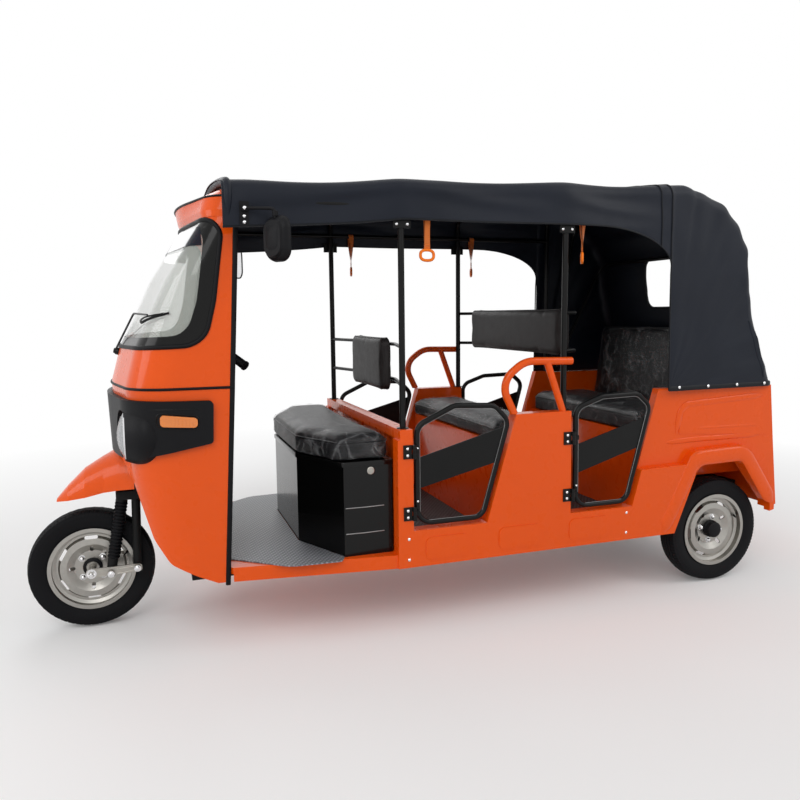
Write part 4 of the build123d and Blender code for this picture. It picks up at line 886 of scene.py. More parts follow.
def makeBarDetails():
    end = Vector((bars["clampX"] - 0.287, 0.305, bars["clampZ"] + 0.030))
    inner = Vector((bars["clampX"] - 0.195, 0.205, bars["clampZ"] + 0.106))
    run = (inner - end).normalized()
    grips = Stock()
    profile = [(-0.004, 0.006), (-0.004, 0.0195), (0.002, 0.0200), (0.004, bars["gripRadius"])]
    for k in range(15):
        base = 0.006 + 0.0064 * k
        profile += [(base, bars["gripRadius"] - 0.0007), (base + 0.0022, bars["gripRadius"]),
                    (base + 0.0046, bars["gripRadius"])]
    length = bars["gripLength"]
    profile += [(length - 0.004, 0.0168), (length, 0.0195), (length + 0.003, 0.0195), (length + 0.004, 0.012)]
    grips.lathe(profile, end, run, 28)
    grips.mirrored()
    grips.piece("barGrips", "seal", "steering", "black_plastic")
    levers = Stock()
    pivot = end + run * (bars["gripLength"] + 0.022)
    ahead = Vector((0.52, 0.0, 0.02)).normalized()
    levers.lathe([(-0.012, 0.0135), (0.012, 0.0135), (0.0135, 0.0115)], pivot, run, 18)
    lever = [pivot + ahead * forward - run * back for forward, back, radius in bars["lever"]]
    levers.tube(lever, [radius for forward, back, radius in bars["lever"]], 12, squash=0.6)
    levers.mirrored()
    levers.piece("brakeLevers", "frameBlack", "steering", "black_frame")
    head = Stock()
    clampTop = Vector((bars["clampX"] - 0.013, 0, bars["clampZ"] + 0.036))
    rake = Vector((-math.sin(math.radians(20)), 0, math.cos(math.radians(20))))
    head.lathe([(-0.004, 0.029), (0.010, 0.029), (0.014, 0.026), (0.015, 0.0006)], clampTop - rake * 0.012, rake, 28)
    for dx, dy in ((0.016, 0.016), (0.016, -0.016), (-0.016, 0.016), (-0.016, -0.016)):
        hexBolt(head, clampTop + rake * 0.002 + Vector((dx, dy, dx * 0.36)), rake, 0.0042, 0.004)
    head.piece("barClampCap", "casting", "steering", "cast_housing")


# lamps
lampDetail = {
    "centre": (1.268, 0.370, 0.852), "mouth": 0.0840, "depth": 0.066,
    "bulb": [(-0.062, 0.011), (-0.045, 0.011), (-0.044, 0.008), (-0.022, 0.008), (-0.016, 0.005), (-0.014, 0.0004)],
    "rim": [(-0.002, 0.0955), (0.0032, 0.0960), (0.0044, 0.0925), (0.0012, 0.0905), (-0.002, 0.0955)],
    "shell": {"rows": 19, "steps": 56, "mouth": 0.0966, "swell": 0.0160, "length": 0.165, "inset": 0.0006},
}
bandDetail = {  # the pressed line, and the frame and ribs of the turn signal, on the band's face
    "line": (1.000, 1.168, 0.957, 0.9605), "lineLevel": 0.958, "lineOut": 0.0204, "lineRadius": 0.0016,
    "frame": [(1.010, 0.885), (1.010, 0.931), (1.150, 0.948), (1.150, 0.894)], "frameRound": 0.016,
    "frameOut": 0.0205, "frameRadius": 0.0024, "ribs": 9, "ribFrom": 1.030, "ribGap": 0.0125, "ribOut": 0.0323,
}
tailDetail = {"x": -1.684, "z": 0.353, "slope": 0.036 / 0.317, "lampY": 0.435, "lampZ": 0.580,
              "bezel": (0.049, 0.064), "bezelRound": 0.008, "bezelRadius": 0.0035}


def tailX(z):  # the tail leans forward towards the top
    return tailDetail["x"] + (z - tailDetail["z"]) * tailDetail["slope"]


def onBand(x, z, side, out, at=None):
    return cabPoint("lower", stepAt("lower", x, at or z), z, side, out)


def makeBandDetails():
    lines, ribs = Stock(), Stock()
    xFrom, xTo, zFrom, zTo = bandDetail["line"]
    for side in (1, -1):
        path = []
        for k in range(15):
            place, height = xFrom + (xTo - xFrom) * k / 14, zFrom + (zTo - zFrom) * k / 14
            path.append(onBand(place, height, side, bandDetail["lineOut"], bandDetail["lineLevel"]))
        lines.tube(path, bandDetail["lineRadius"], 8)
        corners = [(x, z, 0) for x, z in bandDetail["frame"]]
        outline = evenPath(roundedPath(corners, bandDetail["frameRound"], closed=True, step=0.003), 0.006, closed=True)
        loop = [onBand(p.x, p.y, side, bandDetail["frameOut"]) for p in outline]
        lines.tube(loop, bandDetail["frameRadius"], 8, closed=True)
        for k in range(bandDetail["ribs"]):
            low, high = 0.896 + 0.0008 * k, 0.922 + 0.0013 * k
            place = bandDetail["ribFrom"] + bandDetail["ribGap"] * k
            path = [onBand(place, low + (high - low) * j / 4, side, bandDetail["ribOut"]) for j in range(5)]
            ribs.tube(path, 0.0010, 6)
    lines.piece("bandLines", "frameBlack", "body", "black_plastic")
    ribs.piece("signalRibs", "amber", "body", "amber_lens")


def makeLampDetails():
    x, y, z = lampDetail["centre"]
    bowls = Stock()
    profile = [(0.0, lampDetail["mouth"])]
    for k in range(1, 13):
        share = k / 12
        profile.append((-lampDetail["depth"] * share,
                        lampDetail["mouth"] * math.sqrt(max(0.0, 1 - share)) * 0.62 + 0.034 * share
                        + lampDetail["mouth"] * 0.38 * (1 - share)))
    profile.append((-lampDetail["depth"], 0.0006))
    bowls.lathe(profile, (x, y, z), (1, 0, 0), 48)
    bowls.mirrored()
    bowls.piece("lampReflectors", "chrome", "body", "bright_steel", sharp=60)
    bulbs = Stock()
    bulbs.lathe(lampDetail["bulb"], (x, y, z), (1, 0, 0), 20)
    bulbs.mirrored()
    bulbs.piece("lampBulbs", "lens", "body", "clear_lens")
    rims = Stock()
    rims.lathe(lampDetail["rim"], (x, y, z), (1, 0, 0), 64)
    rims.mirrored()
    rims.piece("lampRims", "chrome", "body", "bright_steel")
    makeBandDetails()
    tail = Stock()
    wide, tall = tailDetail["bezel"]
    for side in (1, -1):
        corners = []
        for across, up in ((-1, -1), (1, -1), (1, 1), (-1, 1)):
            height = tailDetail["lampZ"] + up * tall
            corners.append((tailX(height) - 0.001, side * (tailDetail["lampY"] + across * wide), height))
        bezel = roundedPath(corners, tailDetail["bezelRound"], closed=True, step=0.002)
        tail.tube(bezel, tailDetail["bezelRadius"], 8, closed=True)
    tail.piece("tailLampBezels", "plastic", "body", "black_plastic")
    shells = Stock()  # the housings swell out of the band behind the lenses
    rows = []
    shell = lampDetail["shell"]
    steps = shell["steps"]
    for k in range(shell["rows"]):
        share = k / (shell["rows"] - 1)
        swell = math.sin(min(1.0, share * 2.2) * math.pi / 2)
        radius = (shell["mouth"] + shell["swell"] * swell) * math.cos(max(0.0, share - 0.45) * 1.9)
        centre = Vector((x - shell["inset"] - shell["length"] * share, y + 0.030 * swell, z + 0.004 * swell))
        rows.append([centre + radius * Vector((0, math.cos(a), math.sin(a)))
                     for a in (2 * math.pi * j / steps for j in range(steps))])
    shells.grid(rows, False, True)
    shells.mirrored()
    shells.piece("lampPodShells", "plastic", "body", "black_plastic")
    print("lamps dressed")


# mirrors and wiper
mirrorDetail = {
    "centre": (0.728, 0.628, 1.562), "turn": 33.0, "back": 0.0164,
    "glass": (0.053, 0.074, 0.040), "shell": (0.059, 0.080, 0.046), "shellDepth": 0.0385,
    "pivot": (0.728, 0.628, 1.648), "bolts": ((0.5904, 1.620), (0.5904, 1.641), (0.6024, 1.668)), "boltX": 0.830,
}


def roundPlate(half, tall, corner, step):
    corners = [(-half, -tall, 0), (half, -tall, 0), (half, tall, 0), (-half, tall, 0)]
    return roundedPath(corners, corner, closed=True, step=step)


def makeMirrorDetails():
    turn = math.radians(mirrorDetail["turn"])
    glassStock, rimStock, boltStock, shell = Stock(), Stock(), Stock(), Stock()
    ahead, across = Vector((math.cos(turn), math.sin(turn), 0)), Vector((-math.sin(turn), math.cos(turn), 0))
    centre = Vector(mirrorDetail["centre"]) - ahead * mirrorDetail["back"]

    def spot(p, size, forward):
        return centre + across * p.x * size + Vector((0, 0, p.y * size)) + ahead * forward

    loop = roundPlate(*mirrorDetail["glass"], 0.004)
    rows = []
    for k in range(7):
        share = 1 - k / 6 if k < 6 else 0.001
        rows.append([spot(p, share, -0.0016 * (1 - share**2)) for p in loop])
    glassStock.grid(rows, False, True)
    rimStock.tube([centre + across * p.x * 1.06 + Vector((0, 0, p.y * 1.05)) for p in loop], 0.0034, 8, closed=True)
    outline = roundPlate(*mirrorDetail["shell"], 0.005)
    rows = []
    for k in range(9):
        share = k / 8
        size = math.sqrt(max(0.0, 1 - (share * 0.93) ** 2.4))
        rows.append([spot(p, size, mirrorDetail["shellDepth"] * share + 0.0004) for p in outline])
    rows.append([spot(p, 0.02, mirrorDetail["shellDepth"] + 0.0007) for p in outline])
    shell.grid(rows, False, True)
    rivetRow(boltStock, [(mirrorDetail["boltX"], y, z) for y, z in mirrorDetail["bolts"]], (0, 1, 0), 0.0072, 0.0066)
    knuckle = [(-0.008, 0.0105), (0.008, 0.0105), (0.010, 0.007), (0.0105, 0.0005)]
    shell.lathe(knuckle, mirrorDetail["pivot"], (0, 0, 1), 18)
    for stock, name, finish, slotName in (
            (glassStock, "mirrorGlass", "chrome", "bright_steel"),
            (rimStock, "mirrorRims", "plastic", "black_plastic"),
            (shell, "mirrorShells", "plastic", "black_plastic"),
            (boltStock, "mirrorBolts", "chrome", "bright_steel")):
        stock.mirrored()
        stock.piece(name, finish, "body", slotName)


wiper = {"pivot": (40.8, 1.152), "elbow": (29.0, 1.293), "blade": ((25.4, 1.266), (15.2, 1.303))}


def makeWiper():
    arm = Stock()
    base = cabPoint("upper", *wiper["pivot"], 1, 0.004)
    normal = (cabPoint("upper", *wiper["pivot"], 1, 0.02) - base).normalized()
    arm.lathe([(-0.004, 0.015), (0.006, 0.015), (0.012, 0.011), (0.0165, 0.010), (0.0175, 0.0006)], base, normal, 22)
    (s0, z0), (s1, z1) = wiper["blade"]
    middle = cabPoint("upper", (s0 + s1) / 2, (z0 + z1) / 2 + 0.006, 1, 0.027)
    elbow = cabPoint("upper", *wiper["elbow"], 1, 0.030)
    arm.tube(evenPath(roundedPath([base + normal * 0.010, elbow, middle], 0.05), 0.01), 0.0042, 10, squash=0.7)

    def alongBlade(share, out):
        return cabPoint("upper", s0 + (s1 - s0) * share, z0 + (z1 - z0) * share, 1, out)

    holder = [alongBlade(0.1 + 0.8 * k / 16, 0.0175 + 0.008 * math.sin(math.pi * k / 16)) for k in range(17)]
    arm.tube(holder, 0.0034, 8)
    arm.piece("wiperArm", "frameBlack", "body", "black_frame")
    blade = Stock()
    blade.tube([alongBlade(k / 30, 0.0085) for k in range(31)], 0.0052, 8, squash=0.55)
    blade.piece("wiperBlade", "seal", "body", "black_plastic")


# soft forms
def applyAll(made):
    graph = bpy.context.evaluated_depsgraph_get()
    graph.update()
    mesh = bpy.data.meshes.new_from_object(made.evaluated_get(graph))
    made.modifiers.clear()
    old = made.data
    made.data = mesh
    bpy.data.meshes.remove(old)
    return mesh


def looseObject(name, points, faces):
    mesh = bpy.data.meshes.new(name)
    mesh.from_pydata([tuple(p) for p in points], [], faces)
    tidyMesh(mesh)
    made = bpy.data.objects.new(name, mesh)
    scene.collection.objects.link(made)
    return made


def meshArray(mesh):
    places = np.zeros(len(mesh.vertices) * 3, np.float64)
    mesh.vertices.foreach_get("co", places)
    return places.reshape(-1, 3)


def setArray(mesh, places):
    mesh.vertices.foreach_set("co", places.astype(np.float32).ravel())
    mesh.update()


def puffUp(made, voxel, pressure, cap, low=None):
    # swells a closed form like a stuffed cover, then rounds it once
    remesh = made.modifiers.new("evenCells", "REMESH")
    remesh.mode, remesh.voxel_size = "VOXEL", voxel
    mesh = applyAll(made)
    rest = meshArray(mesh)
    cloth = made.modifiers.new("stuffing", "CLOTH")
    cloth.settings.quality = 4
    cloth.settings.use_pressure = True
    cloth.settings.uniform_pressure_force = pressure
    cloth.settings.effector_weights.gravity = 0
    cloth.settings.tension_stiffness = cloth.settings.compression_stiffness = 30
    cloth.collision_settings.use_collision = False
    cloth.point_cache.frame_start, cloth.point_cache.frame_end = 1, 20
    for number in range(1, 21):
        scene.frame_set(number)
    mesh = applyAll(made)
    moved = meshArray(mesh) - rest
    reach = np.linalg.norm(moved, axis=1, keepdims=True)
    moved *= np.minimum(1.0, cap / np.maximum(reach, 1e-9))
    places = rest + moved
    if low is not None:
        places[:, 2] = np.maximum(places[:, 2], low)
    setArray(mesh, places)
    scene.frame_set(1)
    smooth = made.modifiers.new("rounded", "SUBSURF")
    smooth.levels = smooth.render_levels = 1
    return applyAll(made)


def dress(made, finish, body, stands=()):
    made.data.materials.clear()
    made.data.materials.append(finishes[finish])
    smoothFaces(made.data, 180)
    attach(made, body)
    if stands:
        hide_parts(*stands)
    return made


def slab(outline, low, high, edge, inset, crown=0.0):
    # a closed block over a rounded plan, its upper and lower edges rounded
    centre = sum((Vector(p) for p in outline), Vector((0, 0, 0))) / len(outline)
    sides = [(low, edge * 0.4), (low + edge * 0.12, edge * 0.12), (low + edge * 0.4, 0.0)]
    sides += [(high - edge + edge * math.sin(a), edge * (1 - math.cos(a)))
              for a in (math.pi / 2 * k / 5 for k in range(6))]
    rows = [[shrink(outline, inset + draw, z, k) for k in range(len(outline))] for z, draw in sides]

    def inner(row, share, z):
        return [Vector((centre.x + (p.x - centre.x) * share, centre.y + (p.y - centre.y) * share, z)) for p in row]

    floors = [inner(rows[0], share, low) for share in (0.08, 0.35, 0.7)]
    tops = [inner(rows[-1], share, high + crown * (1 - share**2)) for share in (0.8, 0.55, 0.3, 0.08)]
    made = Stock().grid([*floors, *rows, *tops], False, True)
    count, last = len(outline), len(made.points)
    made.faces += [tuple(reversed(range(count))), tuple(range(last - count, last))]
    return made


def shrink(outline, amount, z, k):
    before, here, after = (Vector(outline[j % len(outline)]) for j in (k - 1, k, k + 1))
    along = (after - before).normalized()
    inward = Vector((-along.y, along.x, 0))
    return Vector((here.x + inward.x * amount, here.y + inward.y * amount, z))


def pipingRun(name, path, radius, finish, body, slotName, closed=True):
    stock = Stock().tube(path, radius, 8, closed=closed)
    return stock.piece(name, finish, body, slotName)


def nearestOnMesh(made, path, lift):
    placed = []
    for point in path:
        hit, place, normal, face = made.closest_point_on_mesh(Vector(point))
        placed.append(place + normal * lift if hit else Vector(point))
    return placed


def plasticFilm(name, source, body, low, rise, seed, crease=9.0, keep=None):
    # clear wrapping laid over a cushion, its creases standing off the cover
    made = bpy.data.objects.new(name, source.data.copy())
    scene.collection.objects.link(made)
    mesh = made.data
    work = bmesh.new()
    work.from_mesh(mesh)
    work.normal_update()
    gone = [face for face in work.faces if face.calc_center_median().z < low
            or (keep and not keep(face.calc_center_median()))]
    bmesh.ops.delete(work, geom=gone, context="FACES")
    for vert in work.verts:
        p = vert.co
        warp = Vector((ripple(p, 5.0, seed), ripple(p, 5.0, seed + 9.0), ripple(p, 5.0, seed + 17.0))) * 0.09
        ridge = 1 - abs(ripple(p + warp, crease, seed))
        fine = 1 - abs(ripple(p + warp * 0.6, crease * 2.6, seed + 5.0))
        lift = rise[0] + rise[1] * (0.65 * max(0.0, ridge - 0.72) / 0.28 + 0.35 * max(0.0, fine - 0.7) / 0.3)
        vert.co = p + vert.normal * lift
    work.to_mesh(mesh)
    work.free()
    mesh.materials.clear()
    mesh.materials.append(finishes["film"])
    smoothFaces(mesh, 180)
    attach(made, body)
    declareSheet(made)
    return made


def declareSheet(made, thick=0.0):
    area = sum(face.area for face in made.data.polygons) / (2.0 if thick else 1.0)
    places = meshArray(made.data)
    span = places.max(0) - places.min(0)
    length = max(span)
    width = area / length * 1.02


seats = {
    "driver": {"plan": [(0.635, 0.280), (0.500, 0.553), (0.267, 0.553),
                        (0.267, -0.553), (0.500, -0.553), (0.635, -0.280)],
               "round": 0.042, "low": 0.7212, "high": 0.816, "node": "driver_cushion"},
    "middle": {"plan": [(-0.186, 0.523), (-0.495, 0.523), (-0.495, -0.523), (-0.186, -0.523)], "round": 0.030,
               "low": 0.7462, "high": 0.822, "node": "middle_cushion"},
    "rear": {"plan": [(-0.922, 0.507), (-1.298, 0.507), (-1.298, -0.507), (-0.922, -0.507)], "round": 0.030,
             "low": 0.7362, "high": 0.831, "node": "rear_cushion"},
    "voxel": 0.013, "pressure": 3.0, "cap": 0.016, "inset": 0.010,
}


def makeCushions():
    for number, name in enumerate(("driver", "middle", "rear")):
        seat = seats[name]
        plan = [(x, y, 0) for x, y in seat["plan"]]
        outline = evenPath(roundedPath(plan, seat["round"], closed=True, step=0.008), 0.022, closed=True)
        stock = slab(outline, seat["low"], seat["high"] - 0.004, 0.026, seats["inset"], 0.003)
        cushion = looseObject(f"{name}Cushion", stock.points, stock.faces)
        puffUp(cushion, seats["voxel"], seats["pressure"], seats["cap"], seat["low"] - 0.0005)
        dress(cushion, "seat", "body", (seat["node"],))
        edge = [shrink(outline, seats["inset"] * 0.2, seat["high"] - 0.016, k) for k in range(len(outline))]
        loop = nearestOnMesh(cushion, edge, 0.0008)
        pipingRun(f"{name}CushionPiping", loop, 0.0042, "seat", "body", "seat_vinyl")
        plasticFilm(f"{name}CushionFilm", cushion, "body", seat["low"] + 0.012, (0.0022, 0.0075), 3.0 + 7.0 * number)
        print(name, "cushion made")


backrest = {"foot": (-1.312, 0, 0.7372), "top": (-1.377, 0, 1.232), "thick": 0.092, "halfWidth": 0.500,
            "round": 0.045, "voxel": 0.014, "cap": 0.014}


def padOutline(low, high, half, corner, step, gap):  # a standing pad's plan: height, width
    corners = [(low, half, 0), (low, -half, 0), (high, -half, 0), (high, half, 0)]
    return evenPath(roundedPath(corners, corner, closed=True, step=step), gap, closed=True)


def makeBackrest():
    foot, top = Vector(backrest["foot"]), Vector(backrest["top"])
    up = (top - foot).normalized()
    ahead = Vector((up.z, 0, -up.x))
    outline = padOutline(0.0, (top - foot).length, backrest["halfWidth"], backrest["round"], 0.008, 0.024)
    stock = slab(outline, -backrest["thick"] + 0.006, -0.012, 0.030, 0.008, 0.006)
    points = [foot + up * p[0] + Vector((0, p[1], 0)) + ahead * p[2] for p in stock.points]
    made = looseObject("rearBackrest", points, stock.faces)
    puffUp(made, backrest["voxel"], 3.0, backrest["cap"], 0.7360)
    dress(made, "seat", "body", ("rear_backrest",))
    loop = [foot + up * p.x + Vector((0, p.y, 0)) + ahead * -0.012 for p in outline]
    pipingRun("backrestPiping", nearestOnMesh(made, loop, 0.0008), 0.0042, "seat", "body", "seat_vinyl")
    plasticFilm("backrestFilm", made, "body", 0.80, (0.0018, 0.0060), 31.0, 7.0,
                keep=lambda c: (c - foot).dot(ahead) > -backrest["thick"] + 0.012)
    print("backrest made")


rackPads = {  # face, thickness, half width, foot, top, corner
    "driver": (0.2225, 0.052, 0.249, 0.957, 1.196, 0.040), "middle": (-0.5225, 0.058, 0.472, 1.099, 1.313, 0.040),
    "voxel": 0.0085, "pressure": 1.6, "cap": 0.0055,
}


def makeRackPads():
    made = []
    for name in ("driver", "middle"):
        face, thick, half, low, high, corner = rackPads[name]
        outline = padOutline(low, high, half, corner, 0.006, 0.014)
        stock = slab(outline, -thick + 0.003, -0.0055, 0.016, 0.004, 0.002)
        points = [Vector((face + p[2], p[1], p[0])) for p in stock.points]
        pad = looseObject(f"{name}BackPad", points, stock.faces)
        puffUp(pad, rackPads["voxel"], rackPads["pressure"], rackPads["cap"])
        dress(pad, "pad", "body", ("rack_pads",))
        for edge, offset in (("Front", -0.011), ("Back", -thick + 0.010)):
            loop = nearestOnMesh(pad, [Vector((face + offset, p.y, p.x)) for p in outline], 0.0004)
            pipingRun(f"{name}Pad{edge}Piping", loop, 0.0026, "pad", "body", "seat_vinyl")
        made.append(pad)
    print("back pads made")


# canopy, one coated sheet from the cab to the tub
hood = {
    "stations": [(0.905, 1.768, 1.826), (0.050, 1.812, 1.866), (-0.990, 1.836, 1.886), (-1.704, 1.836, 1.886)],
    "bottomHalf": 0.598, "shoulderHalf": 0.582, "round": 0.055, "valance": 1.653, "pivot": (-1.005, 0.9405),
    "bows": (0.905, 0.817, 0.235, -0.492, -1.005), "sag": 0.018, "thickness": 0.0026, "frontDrop": 0.050,
    "slack": ((0.900, 0.150, 1.690, 1.800, 0.013), (0.320, -0.420, 1.800, 1.715, 0.011),
              (-0.400, -0.990, 1.770, 1.700, 0.009)),  # from and to along the length, both heights, bulge
    "rear": [(-1.005, 1.886), (-1.100, 1.884), (-1.202, 1.846), (-1.320, 1.790), (-1.400, 1.700), (-1.459, 1.585),
             (-1.459, 1.465), (-1.519, 1.207), (-1.620, 0.9410)],
    "window": (0.180, 1.310, 1.575, 0.045), "archLength": 0.400, "archDrop": 0.165,
    "fallback": 0.615, "fanRise": 0.050, "fanRiseEnd": math.radians(42), "fanSlack": math.radians(5.0), "fanFoot": 12,
    "archPiping": (-0.952, -1.004), "pipingRadius": 0.0030, "hemRadius": 0.0058,
    "sideSnaps": ((-1.060, -1.219, -1.383, -1.544), 0.5985, 0.9535),
    "backSnaps": (-1.6165, (-0.48, -0.24, 0.0, 0.24, 0.48), 0.954),
}


def hoodLine(bottomZ, shoulderZ, crownZ, ground, shoulderHalf, count=(10, 7, 16)):
    # from the hem on the left, over the roof, to its middle: across and height
    slope = (hood["bottomHalf"] - shoulderHalf) / (shoulderZ - ground)
    low = Vector((shoulderHalf + slope * (shoulderZ - bottomZ), bottomZ))
    shoulder = Vector((shoulderHalf, shoulderZ))
    crown = Vector((0.0, crownZ))
    inward, outward = (low - shoulder).normalized(), (crown - shoulder).normalized()
    half = inward.angle(outward) / 2
    reach = hood["round"] / math.tan(half)
    start, end = shoulder + inward * reach, shoulder + outward * reach
    centre = shoulder + (inward + outward).normalized() * (hood["round"] / math.sin(half))
    a0, a1 = math.atan2(start.y - centre.y, start.x - centre.x), math.atan2(end.y - centre.y, end.x - centre.x)
    line = [low.lerp(start, k / count[0]) for k in range(count[0])]
    line += [centre + hood["round"] * Vector((math.cos(a0 + (a1 - a0) * k / count[1]),
                                              math.sin(a0 + (a1 - a0) * k / count[1])))
             for k in range(count[1])]
    rise = crown.y - end.y
    for k in range(count[2] + 1):
        share = k / count[2]
        y = end.x * (1 - share)
        line.append(Vector((y, end.y + rise * (1 - (1 - share) ** 1.6))))
    return line


def stationAt(x):
    xs = [s[0] for s in reversed(hood["stations"])]
    return (float(np.interp(x, xs, [s[1] for s in reversed(hood["stations"])])),
            float(np.interp(x, xs, [s[2] for s in reversed(hood["stations"])])))


def bowSag(x):
    for front, back in zip(hood["bows"], hood["bows"][1:]):
        if back <= x <= front and front - back > 0.2:
            return math.sin(math.pi * (front - x) / (front - back)) ** 1.3
    return 0.0


def hoodRow(x):
    shoulder, crown = stationAt(x)
    bottom = hood["valance"] - hood["frontDrop"] * max(0.0, (x - partitionX) / (hood["bows"][0] - partitionX)) ** 0.8
    rest = 1 - (x - hood["pivot"][0]) / hood["archLength"]
    if rest > 0:
        bottom -= hood["archDrop"] * (1 - math.sqrt(max(0.0, 1 - rest**2)))
    line = hoodLine(bottom, shoulder, crown, hood["pivot"][1], hood["shoulderHalf"])
    sag = bowSag(x) * hood["sag"]
    folds = []  # slack that runs from the cab's corner up to the ridge over the first posts, and down behind it
    for start, end, low, high, bulge in hood["slack"]:
        along = (start - x) / (start - end)
        if 0 < along < 1:
            folds.append((low + (high - low) * along, bulge * math.sin(math.pi * along)))
    row = []
    for k, p in enumerate(line):
        side = max(0.0, 1 - abs(p.y - (shoulder - 0.055)) / 0.13) if p.x > 0.4 else 0.0
        top = min(1.0, (0.56 - p.x) / 0.2) if p.x < 0.56 else 0.0
        fold = 0.004 * ripple((x, 0, p.y), 4.0, 2.0) + 0.002 * ripple((x, p.x, p.y), 13.0, 6.0)
        out = sum(bulge * math.exp(-((p.y - height) / 0.030) ** 2) for height, bulge in folds) if p.x > 0.45 else 0.0
        row.append(Vector((x, p.x - sag * 1.6 * side + out + min(0.0, fold) * (p.x > 0.3),
                           p.y - sag * top - sag * 0.8 * side)))
    return row


def rearRadius(angle):
    # distance from the pivot to the folded back, measured from straight up
    px, pz = hood["pivot"]
    direction = Vector((-math.sin(angle), math.cos(angle)))
    for (x0, z0), (x1, z1) in zip(hood["rear"], hood["rear"][1:]):
        a, b = Vector((x0 - px, z0 - pz)), Vector((x1 - px, z1 - pz))
        cross = direction.x * (b - a).y - direction.y * (b - a).x
        if abs(cross) < 1e-9:
            continue
        along = (a.x * (b - a).y - a.y * (b - a).x) / cross
        share = (a.x * direction.y - a.y * direction.x) / cross
        if -1e-6 <= share <= 1 + 1e-6 and along > 0:
            return along
    return hood["fallback"]


rearBowAngles = [math.atan2(-(x - hood["pivot"][0]), z - hood["pivot"][1]) for x, z in hood["rear"][2:7]]


def fanRow(angle):  # one row of the folded back, from its foot on the tub to the middle of the roof
    px, pz = hood["pivot"]
    radius = rearRadius(angle)
    rise = hood["fanRise"] * max(0.0, 1 - angle / hood["fanRiseEnd"]) ** 1.2
    near = min(abs(angle - bow) for bow in rearBowAngles)
    slack = min(1.0, near / hood["fanSlack"])
    row = []
    foot = hood["fanFoot"]
    narrowing = (hood["bottomHalf"] - hood["shoulderHalf"]) / (hood["stations"][2][1] - pz)
    shoulderHalf = hood["bottomHalf"] - narrowing * radius * max(0.02, math.cos(angle))
    base = hoodLine(hood["valance"] - hood["archDrop"] - pz, radius - rise - 0.0005, radius, 0.0, shoulderHalf)
    low = base[0]
    lower = [Vector((low.x + (hood["bottomHalf"] - low.x) * (1 - k / foot), low.y * k / foot)) for k in range(foot)]
    for p in lower + base:
        reach = p.y / max(radius, 1e-6)
        fold = 0.0
        if angle > math.radians(8):
            corner = max(0.0, min(1.0, (reach - 0.55) / 0.35)) if p.x > 0.42 else 0.0
            fold = -0.008 * slack * corner * (0.7 + 0.6 * ripple((angle * 3, p.y * 2, 0), 2.0, 1.0))
            fold += 0.003 * corner * ripple((angle * 4, p.y * 3, p.x), 3.0, 4.0)
        settle = -0.005 * slack * max(0.0, 1 - (p.x / 0.56) ** 4) if angle > math.radians(10) and reach > 0.9 else 0.0
        swell = 0.0
        if p.x > 0.5:
            wander = ripple((angle * 5, p.y * 4, 3.0), 1.6, 8.0)
            swell = 0.0025 * (wander - 1) - 0.004 * math.sin(math.pi * min(1.0, reach))
        dist = p.y + settle + fold * 0.4
        row.append(Vector((px - math.sin(angle) * dist, p.x + fold + swell * min(1.0, reach * 3),
                           pz + math.cos(angle) * dist)))
    return row


def hoodSurface():
    archX = hood["pivot"][0] + hood["archLength"]
    xs = list(np.linspace(hood["bows"][0], archX, 64))
    xs += list(archX - hood["archLength"] * np.sin(np.linspace(0, math.pi / 2, 28))[1:])
    stock = Stock()
    stock.grid([bothSides(hoodRow(float(x))) for x in xs])
    last = math.atan2(-(hood["rear"][-1][0] - hood["pivot"][0]), hood["rear"][-1][1] - hood["pivot"][1])
    rows = [fanRow(float(angle)) for angle in np.linspace(0.0, last, 92)]
    rows[0][hood["fanFoot"]:] = hoodRow(hood["pivot"][0])  # the roof and the back share this row
    stock.grid([bothSides(row) for row in rows])
    return stock, rows[-1]


